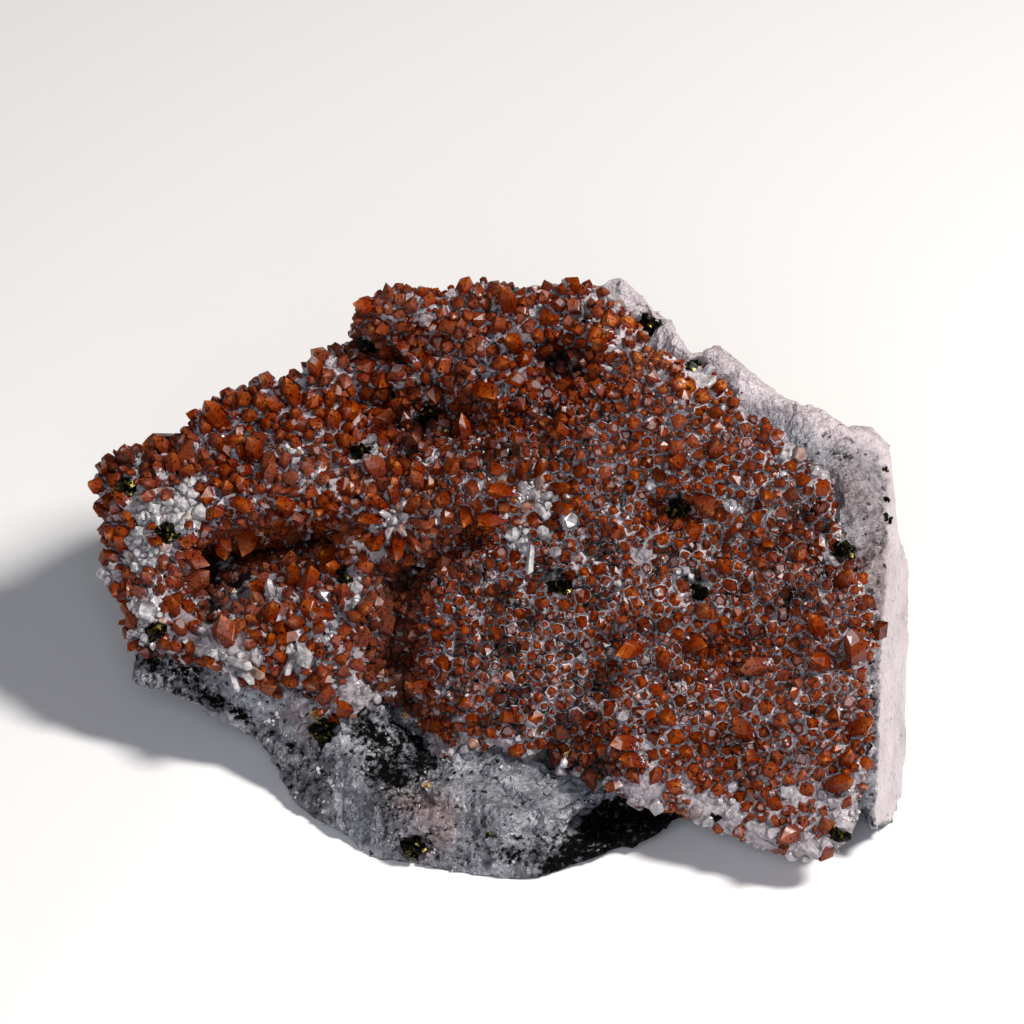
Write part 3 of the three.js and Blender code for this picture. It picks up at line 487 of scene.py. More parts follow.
def crystal_mesh(crystals, rng, fitted=False):
    """Points, triangles and values at the points of six-sided crystals, each a prism under a six-faced point.

    A crystal is foot, axis, radius, length, point height, root, rounding, zone at the root, at the shoulder,
    inside the shoulder and at the tip, tint, milk, and dirt with painted shade. A zone is 0 at the clear
    margin and 1 at the tip.
    """
    n = len(crystals)
    foot = np.array([crystal[0] for crystal in crystals])
    axis = unit(np.array([crystal[1] for crystal in crystals]))
    radius, length, point, root, rounding, *zones, tint, milk, dirt = np.array([c[2:] for c in crystals]).T
    side = unit(np.cross(axis, unit(rng.normal(size=(n, 3)))))
    other = np.cross(axis, side)
    turn = np.arange(6) * math.pi / 3 + 0.16 * rng.normal(size=(n, 6))
    spokes = side[:, None] * np.cos(turn)[..., None] + other[:, None] * np.sin(turn)[..., None]

    # The prism is flattened and uneven, and three faces of its point are larger, as on most quartz.
    flattened = 0.38 * rng.random((n, 1)) * np.cos(2 * (turn - 3.14 * rng.random((n, 1))))
    corner = radius[:, None] * (1 + flattened + 0.14 * (rng.random((n, 6)) - 0.5))
    if fitted:
        corner = fitted_corners(foot, radius, spokes, corner)
    three_faced = 0.4 * rng.random((n, 1)) * np.cos(np.arange(6) * math.pi)
    step = (three_faced + 0.12 * (rng.random((n, 6)) - 0.5)) * radius[:, None]
    step = step - (corner - radius[:, None]) * 0.4

    # Rings of points at the root, the shoulder, its bevel and inside it, then the tip.
    up = axis[:, None]
    outer = spokes * corner[..., None]
    soft = rounding[:, None, None]
    low = foot[:, None] - up * root[:, None, None] + outer * (1.05 - 0.2 * soft)
    shoulder = foot[:, None] + up * ((length - point)[:, None] + step)[..., None] + outer
    bevel = shoulder - outer * (0.07 + 0.1 * soft) + up * radius[:, None, None] * (0.07 + 0.3 * soft)
    drift = 0.16 * radius[:, None] * (side * rng.normal(size=(n, 1)) + other * rng.normal(size=(n, 1)))
    apex = foot + axis * length[:, None] + drift
    blunt = rng.random(n) < BLUNT
    share = np.where(blunt, 0.42 + 0.2 * rng.random(n), 0.28 + 0.08 * rng.random(n))[:, None, None]
    inner = bevel * (1 - share) + apex[:, None] * share + outer * 0.08 * soft
    apex = np.where(blunt[:, None], inner.mean(axis=1), apex)
    points = np.concatenate([low, shoulder, bevel, inner, apex[:, None]], 1).reshape(-1, 3)

    window_and_sheen = (blunt & (rng.random(n) < CLEAR_TIP))[:, None] * np.repeat([0.0, 1.0], [18, 7])
    at_root, at_edge, inside, at_tip = (values[:, None] for values in zones)
    uneven = 0.04 * rng.normal(size=(n, 6))
    rings = [at_root + 0 * uneven, at_edge + uneven, at_edge + uneven + 0.03, inside + uneven, at_tip]
    values = {"zone": np.concatenate(rings, 1).ravel(), "window_and_sheen": window_and_sheen.ravel()}
    values.update({key: np.repeat(v, CORNERS) for key, v in (("tint", tint), ("milk", milk), ("dirt", dirt))})
    return points, crystal_sides(n), values


# The crystals that stand out: u, v, width, length, lean in degrees, its direction, and how milky if at all.
LARGE = [
    (-35.7, 61, 2.9, 4.6, 40, 95), (-39.9, 35, 3.7, 4.3, 25, 60), (-38.5, 31.2, 1.5, 4.6, 58, -20, 1),
    (-38.2, 30.4, 1.4, 5, 62, -38, 1), (-38.8, 30, 1.4, 4.6, 60, -60, 0.9),
    (-36.8, 30.4, 1.7, 4.4, 60, -28, 1), (-28.6, 32.8, 3, 4.6, 40, -75, 0.9),
    (-29.8, 31.6, 1.6, 4, 50, -120, 0.8), (-46, 47.4, 3.1, 5, 55, -48, 0.1),
    (-40.4, 49.8, 3.4, 4.4, 34, -90), (-36, 50.2, 3.4, 4.6, 44, -150), (-46, 41.8, 2.7, 5, 58, 55, 0.15),
    (-46.2, 37.7, 2.2, 4.2, 60, -80, 0.4), (-24.6, 46, 4.2, 4, 14, 30), (-34, 41.5, 2.4, 4, 40, -120),
    (-30.4, 42, 1.8, 4, 50, 62), (-28.3, 40.8, 2.2, 5, 60, 55), (-33.3, 37.2, 3.1, 4.2, 20, 0),
    (-17.3, 58.6, 4.2, 5, 40, 140, 0.2), (-11.5, 56.4, 2.6, 4, 30, 100, 0.2),
    (-10.6, 54.2, 2.2, 3.8, 20, 0, 0.2), (-7.9, 54.8, 3.6, 4, 12, 90), (-5.2, 53.4, 3, 4, 12, -60),
    (1, 56, 2.8, 5.4, 54, 160), (0.4, 52.2, 3, 5, 54, 178), (7.7, 56.3, 2.8, 4.6, 40, 10),
    (3.2, 57.6, 2.2, 4.6, 46, 115), (5.4, 58.2, 2, 4.4, 44, 80), (8.2, 53.6, 2, 4.2, 46, -20),
    (4.6, 47.4, 1.7, 4.8, 64, -88, 1), (6.4, 49.4, 1.8, 3.4, 18, 90, 0.9),
    (8.1, 46.7, 2.2, 3.4, 10, 0, 0.8), (3.6, 55.6, 1.5, 3, 60, 110, 0.7),
    (5.4, 56.6, 1.5, 2.8, 56, 80, 0.7), (-16.4, 53.2, 2.2, 4.8, 46, 140), (-15, 53.8, 2.1, 4.6, 44, 96),
    (-13.4, 53, 2.2, 4.6, 46, 48), (-12.8, 51.6, 1.8, 4.6, 50, 0, 0.2),
    (-13.5, 50.2, 1.8, 4.8, 48, -45, 0.2), (-14.9, 49.6, 2.2, 5, 48, -88), (-16.5, 50.3, 2.1, 5, 48, -130),
    (-17.2, 51.7, 2.3, 4.8, 48, 180), (-15.4, 51.6, 2.4, 2.2, 8, 0, 0.8),
    (-14.4, 52, 1.7, 2.6, 40, 25, 0.7), (-14.6, 51, 2, 2.6, 30, -70, 0.8),
    (-15.6, 51, 1.5, 3, 58, -112, 0.7), (-16, 52.2, 1.6, 2.6, 50, 150, 0.7),
    (-14.9, 50.9, 1.4, 2.8, 60, -35, 0.7), (6.2, 55.2, 1.7, 2.8, 50, 20, 0.8),
    (4.4, 54.2, 1.7, 3, 50, -150, 0.8), (5.6, 54, 1.7, 2.6, 44, -60, 0.8), (5, 55.4, 2.2, 2.4, 8, 0, 0.9),
    (-33, 40.4, 1.3, 3.4, 40, 100, 0.8), (11.5, 58.9, 3, 3.8, 12, 45), (19.4, 33.2, 4, 4.6, 44, -155),
    (19.2, 19.6, 2.9, 4.8, 54, 178), (20.6, 16.9, 2.8, 4.6, 60, 175), (-9.9, 27.5, 2.6, 4, 30, 170),
    (29.4, 54.6, 3.4, 4.4, 48, -10, 0.1), (31.3, 61.6, 3.2, 3.8, 14, 60), (26.1, 60, 3.4, 3.8, 14, 130),
    (38.3, 55.4, 2.8, 3.8, 14, -60), (37, 52, 3.2, 3.8, 14, 90), (32.9, 49.4, 2.2, 4.4, 48, 35),
    (38.5, 48.6, 2.7, 3.8, 12, 0), (32.2, 44.4, 3.2, 3.8, 18, 75), (47.7, 46, 3.2, 4, 20, 40),
    (49.2, 42.8, 3, 4, 24, 20), (29, 38.7, 3.4, 3.8, 20, -60, 0.2), (27, 33.9, 3.2, 4.2, 46, 30),
    (38, 30.4, 3.6, 4.8, 56, -158, 0.2), (46, 35.5, 3, 4.8, 36, 95), (50.6, 33, 4.2, 5.2, 36, 100),
    (47.2, 31.2, 3.6, 4.6, 34, 170), (23.8, 30.6, 2.8, 4.2, 34, 110), (23.8, 23.4, 4.2, 4.2, 22, -30),
    (35.5, 21.1, 3.6, 4.6, 44, 120), (36.6, 17.3, 2.7, 4, 16, 90), (47.7, 13.8, 3.2, 4.6, 52, 5),
    (49.4, 17.3, 2.6, 4, 26, 45), (41.9, 7, 3.1, 4, 36, -140, 0.3), (50.5, 21.9, 3.2, 4.6, 52, 8),
    (-19, 82.6, 2.6, 3.6, 40, 160), (-14.8, 78.4, 2.6, 4.4, 30, 70), (1.3, 82.4, 3.2, 5, 48, 95),
    (2.5, 77, 3.6, 4.6, 34, 150), (5.8, 75.8, 2.7, 4, 16, 90), (-18.3, 64.8, 3.2, 4.6, 46, 20),
    (-16.5, 67.3, 2.8, 4.4, 48, 15), (-2.8, 71.4, 3.4, 4.8, 50, 5), (-5.2, 63.6, 3.2, 4.2, 30, 90),
    (-27, 73.6, 2.8, 3.8, 40, 110), (-48.4, 61.4, 2.8, 4, 40, 130), (-30, 69, 3, 5, 54, 115),
    (-41, 66, 3, 5, 58, 125), (-54.6, 50, 3, 3, 16, 185), (-23.6, 44.6, 3, 3.6, 20, -60),
]

# How the others grow, larger ones first: least and greatest radius, tries, and the distance that two of them
# keep as a share of the sum of their radii.
PASSES = [(1.1, 1.55, 9000, 0.86), (0.82, 1.1, 30000, 0.82), (0.5, 0.82, 50000, 0.8), (0.3, 0.5, 60000, 0.8)]
SPRAY_TRIES = 4000
SPRAY_RADIUS = 1.75  # of the room that one bundle of crystals takes
SPRAY_GAP = 1.25  # between two bundles, as a share of both radii
ROOT = 1.2  # how far a crystal reaches into the bed
PRISM_SHARE = 0.45  # radius of a crystal that stands out, as a share of its width


def on_bed(u, v):
    """The bed's point and outward normal at u, v."""
    u, v = np.array([float(u)]), np.array([float(v)])
    step = 0.8
    rise_u = (crust_height(u + step, v) - crust_height(u - step, v)) / (2 * step)
    rise_v = (crust_height(u, v + step) - crust_height(u, v - step)) / (2 * step)
    return place(u, v, bed_height(u, v))[0], unit(OUTWARD - RIGHT * rise_u - UPSLOPE * rise_v)


def large_crystals(packing, rng):
    """The crystals that stand out, with the room taken along the whole of those that lean."""
    crystals, kinds = [], []
    for u, v, width, length, tilt, direction, *milky in LARGE:
        foot, facing = on_bed(u, v)
        tilt, direction = math.radians(tilt), math.radians(direction)
        sideways = math.cos(direction) * RIGHT + math.sin(direction) * UPSLOPE
        axis = unit(facing + sideways * math.tan(tilt * 0.85))
        radius = width * PRISM_SHARE
        for reach in np.arange(0, length * math.sin(tilt), radius * 1.2):
            packing.takes(foot + (axis - facing * (axis @ facing)) * reach, radius * 0.8, 0.1)
        shape = (radius, length - 0.3, width * 0.6, 1.6, 0.4, 0.2, 0.48, 0.62, 0.97)
        milk = sum(milky)
        # Each is darkened a little with the dirt and painted shade at its foot.
        crystals.append((foot, axis, *shape, 0.35 + 0.65 * rng.random(), milk, 0.4 * dirt_and_shade_at(foot[None])[0]))
        kinds.append("clear" if milk > 0.3 else "leaning")
    return crystals, kinds


def sprouts(form, smallest, largest, tries, rng):
    """The crystals that may grow in one pass, each with its place, way, surroundings, kind and shape."""
    where, facing = scatter(form, tries, rng)
    u, v, w = lean(where).T
    milky, bare, netted, fine, golden_and_painted_light = (patch(u, v, p) for p in (MILKY, BARE, NETTED, FINE, GOLDEN_AND_PAINTED_LIGHT))
    dirty = dirt_and_shade_at(where)
    lying = lying_over(u, v)
    border = facing @ OUTWARD < 0.45
    veiled = np.clip(0.5 * grain(where, 7, 3.0) + 0.3 * patch(u, v, VEILED) + 0.05 * lying, 0, 1)
    radius = (smallest + (largest - smallest) * rng.random(tries) ** 1.3) * (1 - 0.16 * lying)
    chance = rng.random((8, tries))

    # Rough lumps in milky patches, flat plates in bare ones, and now and then a pale ghost.
    lumpy = (milky > bare) & (chance[5] < milky * 1.9 - 0.45)
    flat = ~lumpy & (chance[5] < bare * 1.9 - 0.45)
    ghost = ~lumpy & ~flat & (chance[0] < 0.005)

    # Fewer grow in the patches of dirt and painted shade or where it is bare, and fewer large ones where the
    # crust is fine.
    skipped = (chance[6] < (dirty - 0.35) * 1.1) | (flat & (chance[7] > 0.03))
    if smallest >= 1:
        skipped |= chance[0] > np.where(milky < 0.7, 0.34, 0.8)
    if smallest >= 0.8:
        skipped |= chance[7] < np.maximum.reduce([0.7 * lumpy, 0.7 * netted, 0.8 * fine])
    if smallest < 0.4:
        skipped |= chance[7] < 0.15 + 0.5 * lying

    tall = (chance[1] > 0.85) & ~border
    height = 0.45 + 0.45 * chance[2] + 0.3 * radius + 0.9 * tall + lying * (0.9 + 1.5 * chance[3])
    height = np.minimum(height * np.where(border, 0.6, 1), 3.6 * radius)
    lump = 0.4 + 0.5 * radius + 0.5 * chance[2]
    plate = 0.3 + 0.3 * radius + 0.2 * chance[2]
    height = np.select([lumpy, flat, ghost], [lump, plate, height], height * (1 - 0.5 * bare))
    point = radius * np.select([lumpy, flat], [0.5, 0.3], 0.34 + 0.34 * chance[4] + 0.75 * lying)
    milk = np.select([lumpy, flat, ghost], [0.78 + 0.22 * chance[3], 0.6, 0.8], 0.0)
    rounding = np.maximum(0.8 * lying * (0.5 + 0.5 * chance[4]), 0.9 * (milk > 0))
    edge = 0.2 - 0.08 * netted + 0.12 * chance[6] + 0.16 * lying + 0.12 * tall
    # In the golden patches the zones reach further toward the pale tip: golden stain, and painted light along
    # the upper right edge.
    inside = np.maximum(0.48 - 0.08 * netted, edge + 0.2) + 0.05 * chance[2] + 0.44 * golden_and_painted_light
    tip = 0.6 + 0.4 * np.maximum(chance[3], golden_and_painted_light)
    shape = np.broadcast_arrays(radius, height, point, ROOT, rounding, 0.08, edge, inside, tip)

    named = [(flat, "bare"), (milk > 0, "clear"), (radius < 0.5, "small"), (lying > 0.5, "leaning")]
    kind = np.select(*zip(*named), "end_on")
    way = np.where(border[:, None], facing, unit(facing + OUTWARD * (0.8 - 0.5 * lying)[:, None]))
    spread = np.where(lumpy, 0.1, lying * 0.34 + 0.05)
    found = (where, way, spread, lying, dirty, milk, veiled, lumpy, kind, *shape)
    return zip(*(values[~skipped] for values in found))


def grow_crystals(form, rng):
    """All crystals of the crust with their kinds, larger ones first, each in the room that is left."""
    packing = Packing()
    crystals, kinds = large_crystals(packing, rng)
    bundles = Packing()
    tried = scatter(form, SPRAY_TRIES, rng)[0]
    sprays = nearest([point for point in tried if bundles.takes(point, SPRAY_RADIUS, SPRAY_GAP)])
    for *size_and_tries, closeness in PASSES:
        for sprout in sprouts(form, *size_and_tries, rng):
            where, way, spread, lying, dirty, milk, veiled, lumpy, kind, *shape = sprout
            if not packing.takes(where, shape[0] * (1 + 0.2 * lying), closeness * (0.8 if lumpy else 1)):
                continue
            outwards = where - np.array(sprays.find(where)[0])
            axis = unit(way + outwards * spread + rng.normal(size=3) * (0.07 + 0.14 * lying))
            # The patches of dirt and painted shade deepen a crystal's stain and darken it toward black.
            tint = np.clip(0.5 + 0.27 * rng.normal() - 0.3 * dirty, 0, 1)
            dirt = np.clip(dirty * (0.75 + 0.4 * rng.random()) - 0.1, 0, 0.95)
            veil = milk or veiled * (0.4 + 0.6 * rng.random())
            crystals.append((where, axis, *shape, tint, veil, dirt))
            kinds.append(kind)
    return crystals, np.array(kinds)


# ---- Materials ----

QUARTZ_IOR = 1.544


def linear(hex_colour, alpha=1.0):
    """An sRGB hex value as a linear colour."""
    channels = [int(hex_colour[i : i + 2], 16) / 255 for i in (1, 3, 5)]
    return (*[c / 12.92 if c <= 0.04045 else ((c + 0.055) / 1.055) ** 2.4 for c in channels], alpha)


def per(size):
    """The scale that makes a pattern's features about that many millimetres in size."""
    return 1000 / size


def fill(node, inputs):
    """Sets or links a node's inputs. A node gives its first output, and a hex value is a colour."""
    for key, value in inputs.items():
        if isinstance(value, bpy.types.Node):
            value = next(socket for socket in value.outputs if socket.enabled)
        if isinstance(value, bpy.types.NodeSocket):
            node.id_data.links.new(value, node.inputs[key])
        else:
            node.inputs[key].default_value = linear(value) if isinstance(value, str) else value


def add(tree, kind, inputs=None, stops=None, **settings):
    """Adds a node with its settings, inputs and colour stops. Every mix is one of colours."""
    node = tree.nodes.new("ShaderNode" + kind)
    if kind == "Mix":
        node.data_type = "RGBA"
    for key, value in settings.items():
        setattr(node, key, value)
    fill(node, inputs or {})
    for _ in range(len(stops or ()) - 2):
        node.color_ramp.elements.new(1.0)
    for i, (position, colour) in enumerate((stops or {}).items()):
        node.color_ramp.elements[i].position = position
        node.color_ramp.elements[i].color = linear(colour)
    return node


def new_material(name, *attributes):
    """A material, what adds its nodes, its shader, the place on the piece, and the values at its points."""
    material = bpy.data.materials.new(name)
    material.use_nodes = True
    tree = material.node_tree
    where = add(tree, "TexCoord").outputs["Object"]
    carried = [add(tree, "Attribute", attribute_name=key).outputs["Fac"] for key in attributes]
    return material, functools.partial(add, tree), tree.nodes["Principled BSDF"], where, *carried


def suture_colour(node, where):
    """The grey of the clear quartz between the stained cores: black in patches and small pits, partly dirt
    and partly painted shade of the pockets between the crystals; whitish along healed seams.
    """
    clouds = node("TexNoise", {"Vector": where, "Scale": per(2.6), "Detail": 5.0, "Roughness": 0.68})
    grey = node("ValToRGB", {"Fac": clouds},
                {0.385: "#070505", 0.425: "#6a6469", 0.49: "#a39ba1", 0.62: "#cbc3c8"})
    pits = node("TexNoise", {"Vector": where, "Scale": per(0.9), "Detail": 3.0})
    black = node("ValToRGB", {"Fac": pits}, {0.35: "#080606", 0.42: "#ffffff"})
    return node("Mix", {"Factor": 1.0, "A": grey, "B": black}, blend_type="MULTIPLY")


def iron_stained_quartz():
    """Quartz coloured by iron oxide as it grew: clear grey margin, dark line, orange core, paler tip."""
    material, node, shader, where, zone, tint, veil, dirt, window_and_sheen, pale_and_painted_light = new_material(
        "iron_stained_quartz", "zone", "tint", "milk", "dirt", "window_and_sheen", "pale_and_painted_light")
    wisps = node("TexNoise", {"Vector": where, "Scale": per(0.6), "Detail": 3.0, "Roughness": 0.6})
    uneven = node("MapRange", {"Value": wisps, "From Min": 0.25, "From Max": 0.75, "To Min": -0.13,
                               "To Max": 0.13})
    height = node("Math", {0: zone, 1: uneven}, operation="ADD")
    warm = node("ValToRGB", {"Fac": height},
                {0.255: "#440c04", 0.32: "#6c1602", 0.42: "#7d2b00", 0.76: "#903f00", 1.0: "#cb7837"})
    deep = node("ValToRGB", {"Fac": height},
                {0.255: "#340803", 0.32: "#520e02", 0.42: "#631c00", 0.76: "#732900", 1.0: "#9d5226"})
    iron = node("Mix", {"Factor": tint, "A": deep, "B": warm})
    core = node("Mix", {"Factor": veil, "A": iron, "B": "#80564a"})
    specks = node("TexNoise", {"Vector": where, "Scale": per(0.4), "Detail": 3.0})
    dark = node("ValToRGB", {"Fac": specks}, {0.34: "#2c120c", 0.45: "#ffffff"})
    spotted = node("Mix", {"Factor": 1.0, "A": core, "B": dark}, blend_type="MULTIPLY")
    # Clear flat tops are painted a paler grey-pink, which partly stands for the light they reflect.
    opened = node("MapRange", {"Value": window_and_sheen, "From Min": 0.84, "From Max": 0.9, "To Max": 0.85})
    glassy = node("Mix", {"Factor": opened, "A": spotted, "B": "#8e7a7a"})
    margin = node("MapRange", {"Value": height, "From Min": 0.3, "From Max": 0.24})
    # The margins are paler in the golden and hazy patches: partly their own colour and partly painted light.
    rim = node("Mix", {"Factor": pale_and_painted_light, "A": suture_colour(node, where), "B": "#d9cfd0"})
    colour = node("Mix", {"Factor": margin, "A": glassy, "B": rim})
    # Darkened toward black with dirt and painted shade, black in the cleft under the brow, down the valley
    # and in the pockets.
    dirty = node("Mix", {"Factor": dirt, "A": colour, "B": "#0a0505"})
    gloss = node("MapRange", {"Value": wisps, "To Min": 0.16, "To Max": 0.42})
    fill(shader, {"Base Color": dirty, "Roughness": gloss, "IOR": QUARTZ_IOR, "Specular IOR Level": 0.18,
                  "Transmission Weight": 0.05})
    return material


def clear_quartz():
    """Quartz without stain: white where it is milky, grey where the dark rock shows through it."""
    material, node, shader, where, tint, zone, milk = new_material("clear_quartz", "tint", "zone", "milk")
    clouds = node("TexNoise", {"Vector": where, "Scale": per(1.2), "Detail": 4.0})
    white = node("ValToRGB", {"Fac": clouds}, {0.36: "#8b898b", 0.5: "#b5b2b4", 0.66: "#e0dddd"})
    grey = node("ValToRGB", {"Fac": clouds}, {0.36: "#7d767b", 0.5: "#a0989d", 0.7: "#bdb4b9"})
    milkiness = node("MapRange", {"Value": milk, "From Min": 0.6, "From Max": 1.0})
    cloudy = node("Mix", {"Factor": milkiness, "A": grey, "B": white})
    rusty = node("ValToRGB", {"Fac": tint}, {0.72: "#ffffff", 1.0: "#d9a284"})
    colour = node("Mix", {"Factor": 1.0, "A": cloudy, "B": rusty}, blend_type="MULTIPLY")
    foot = node("ValToRGB", {"Fac": zone}, {0.0: "#77727a", 0.4: "#ffffff"})
    shaded = node("Mix", {"Factor": 1.0, "A": colour, "B": foot}, blend_type="MULTIPLY")
    gloss = node("MapRange", {"Value": clouds, "To Min": 0.12, "To Max": 0.4})
    fill(shader, {"Base Color": shaded, "Roughness": gloss, "IOR": QUARTZ_IOR, "Transmission Weight": 0.12})
    return material


def druse_bed_quartz():
    """Sugary quartz under the crystals: grey, white in milky patches and where painted light lifts it, dark
    with dirt and painted shade in the hollows and pockets.
    """
    material, node, shader, where, milk, bare, dirt = new_material(
        "sugary_quartz_bed", "milk", "bare", "dirt")
    sugar = node("TexVoronoi", {"Vector": where, "Scale": per(0.5)})
    patchy = node("TexNoise", {"Vector": where, "Scale": per(1.6), "Detail": 4.0})
    clear = node("Mix", {"Factor": bare, "A": suture_colour(node, where), "B": "#a59ca1"})
    pale = node("Mix", {"Factor": milk, "A": clear, "B": "#d2cccd"})
    grains = node("ValToRGB", {"Fac": sugar.outputs["Color"]}, {0.0: "#a8a2a4", 1.0: "#ffffff"})
    grainy = node("Mix", {"Factor": 1.0, "A": pale, "B": grains}, blend_type="MULTIPLY")
    strong = node("Math", {0: dirt, 1: patchy}, operation="ADD")
    soil_and_shade = node("MapRange", {"Value": strong, "From Min": 0.75, "From Max": 1.05})
    dirty = node("Mix", {"Factor": soil_and_shade, "A": grainy, "B": "#0a0606"})
    gloss = node("MapRange", {"Value": sugar.outputs["Color"], "To Min": 0.2, "To Max": 0.6})
    relief = node("Bump", {"Height": sugar, "Strength": 0.5, "Distance": 0.0002})
    fill(shader, {"Base Color": dirty, "Roughness": gloss, "Normal": relief, "IOR": QUARTZ_IOR})
    return material


def broken_vein_quartz():
    """Massive quartz broken by hand: bluish grey with glassy parts, dirty seams and specks of ore, and
    painted shade, black in the recess and dark near the floor.
    """
    material, node, shader, where, fresh, dirt, pale, rose = new_material(
        "broken_vein_quartz", "fresh", "dirt", "pale", "rose")
    clouds = node("TexNoise", {"Vector": where, "Scale": per(6), "Detail": 8.0, "Roughness": 0.7})
    body = node("ValToRGB", {"Fac": clouds},
                {0.34: "#242428", 0.43: "#56575f", 0.52: "#797a82", 0.6: "#9c9ca3", 0.67: "#cccbcf"})
    glassy = node("Mix", {"Factor": pale, "A": body, "B": "#8e9199"})
    rosy = node("Mix", {"Factor": rose, "A": glassy, "B": "#8d7573"})
    new_face = node("ValToRGB", {"Fac": clouds}, {0.3: "#a5979d", 0.45: "#c6b9be", 0.65: "#d8cdd1"})
    mixed = node("Mix", {"Factor": fresh, "A": rosy, "B": new_face})
    seams = node("TexNoise", {"Vector": where, "Scale": per(1.0), "Detail": 6.0, "Roughness": 0.7})
    ridged = node("Math", {0: seams, 1: 3.4, 2: -1.2}, operation="MULTIPLY_ADD")
    filled = node("Math", {0: dirt, 1: ridged}, operation="ADD")
    soil_and_shade = node("MapRange", {"Value": filled, "From Min": 0.75, "From Max": 1.3})
    grimy_and_shaded = node("Mix", {"Factor": soil_and_shade, "A": mixed, "B": "#080606"})
    ragged = node("TexNoise", {"Vector": where, "Scale": per(0.5), "Detail": 2.0})
    wavy = node("VectorMath", {0: ragged.outputs["Color"], 1: (1.2 * MM,) * 3}, operation="MULTIPLY")
    moved = node("VectorMath", {0: where, 1: wavy}, operation="ADD")
    ore = node("TexVoronoi", {"Vector": moved, "Scale": per(1.7)})
    amount = node("Math", {0: fresh, 1: -0.21, 2: 0.21}, operation="MULTIPLY_ADD")
    speck = node("Math", {0: ore, 1: amount}, operation="LESS_THAN")
    specked = node("Mix", {"Factor": speck, "A": grimy_and_shaded, "B": "#0f0d0a"})
    sugar = node("TexVoronoi", {"Vector": moved, "Scale": per(0.8)})
    tones = node("ValToRGB", {"Fac": sugar.outputs["Color"]}, {0.1: "#b8b8bb", 0.6: "#ffffff"})
    evened = node("Mix", {"Factor": fresh, "A": tones, "B": "#e8e8e8"})
    grainy = node("Mix", {"Factor": 1.0, "A": specked, "B": evened}, blend_type="MULTIPLY")
    gloss = node("MapRange", {"Value": clouds, "To Min": 0.2, "To Max": 0.5})
    dull = node("Math", {0: gloss, 1: soil_and_shade}, operation="MAXIMUM")
    polish = node("MapRange", {"Value": soil_and_shade, "To Min": 0.5, "To Max": 0.05})
    chips = node("TexVoronoi", {"Vector": moved, "Scale": per(0.9)})
    fine = node("TexNoise", {"Vector": where, "Scale": per(0.6), "Detail": 4.0})
    chipped = node("Math", {0: chips, 1: fine}, operation="ADD")
    relief = node("Bump", {"Height": chipped, "Strength": 0.7, "Distance": 0.0004})
    fill(shader, {"Base Color": grainy, "Roughness": dull, "Specular IOR Level": polish, "Normal": relief,
                  "IOR": QUARTZ_IOR})
    return material


def tarnished_pyrite():
    """Pyrite with a dark tarnish: near black, with brass, green and blue glints where the faces are fresh."""
    material, node, shader, where = new_material("tarnished_pyrite")
    tarnish = node("TexNoise", {"Vector": where, "Scale": per(0.9), "Detail": 3.0})
    colour = node("ValToRGB", {"Fac": tarnish},
                  {0.3: "#0e1a20", 0.46: "#0d0d0b", 0.56: "#26230f", 0.64: "#5c5026", 0.72: "#b39b52"})
    gloss = node("MapRange", {"Value": tarnish, "To Min": 0.45, "To Max": 0.15})
    fill(shader, {"Base Color": colour, "Roughness": gloss, "Metallic": 1.0})
    return material


def limonite_ochre():
    """Crumbs of limonite: dull yellow-brown earth."""
    material, node, shader, where = new_material("limonite_ochre")
    clods = node("TexNoise", {"Vector": where, "Scale": per(0.5), "Detail": 3.0})
    colour = node("ValToRGB", {"Fac": clods}, {0.35: "#6b4a24", 0.5: "#a98350", 0.65: "#cdb184"})
    fill(shader, {"Base Color": colour, "Roughness": 0.85})
    return material


# ---- The druse ----

ORE_ROOM = 1.1  # how near to a cluster of pyrite, seen from in front, a thin crystal may come
SUGAR_TRIES = 16000


def bed_lumps(points):
    """How far the bed's surface stands out of its smooth form."""
    return 0.36 * grain(points, 1.7) + 0.2 * grain(points, 0.7, 5.0)


def over_ore(crystals):
    """Which crystals would hide a cluster of pyrite from in front."""
    clusters = [np.mean(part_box(name), axis=0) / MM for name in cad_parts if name.startswith("pyrite")]
    halfway = np.array([foot + axis * 0.5 * height for foot, axis, _, height, *_ in crystals])
    radii = np.array([crystal[2] for crystal in crystals])
    apart = lean(halfway)[:, None, :2] - lean(np.array(clusters))[None, :, :2]
    return np.linalg.norm(apart, axis=2).min(axis=1) < ORE_ROOM + 0.5 * radii


def make_bed(form):
    """The quartz that the crystals grow from, which takes the place of the druse's stand-in."""
    points, quads, normals = form
    u, v, w = lean(points).T
    bed = points + normals * bed_lumps(points)[:, None]
    # The bed is whiter in milky patches and, partly as painted light, in the golden and hazy ones; it is
    # darkened with dirt and painted shade in the hollows and pockets.
    milk = np.maximum.reduce([patch(u, v, MILKY), 0.9 * patch(u, v, GOLDEN_AND_PAINTED_LIGHT), 0.45 * patch(u, v, HAZY_AND_LIT_MARGINS)])
    piece = make_piece("druse_bed", bed, quads, druse_bed_quartz(), "red_quartz", smooth=True, milk=milk,
                       bare=patch(u, v, BARE), dirt=np.maximum(dirt_and_shade_at(points), patch(u, v, OXIDE_AND_SHADE_POCKETS)))
    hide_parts("druse")
    return bed.tolist(), quads.tolist()


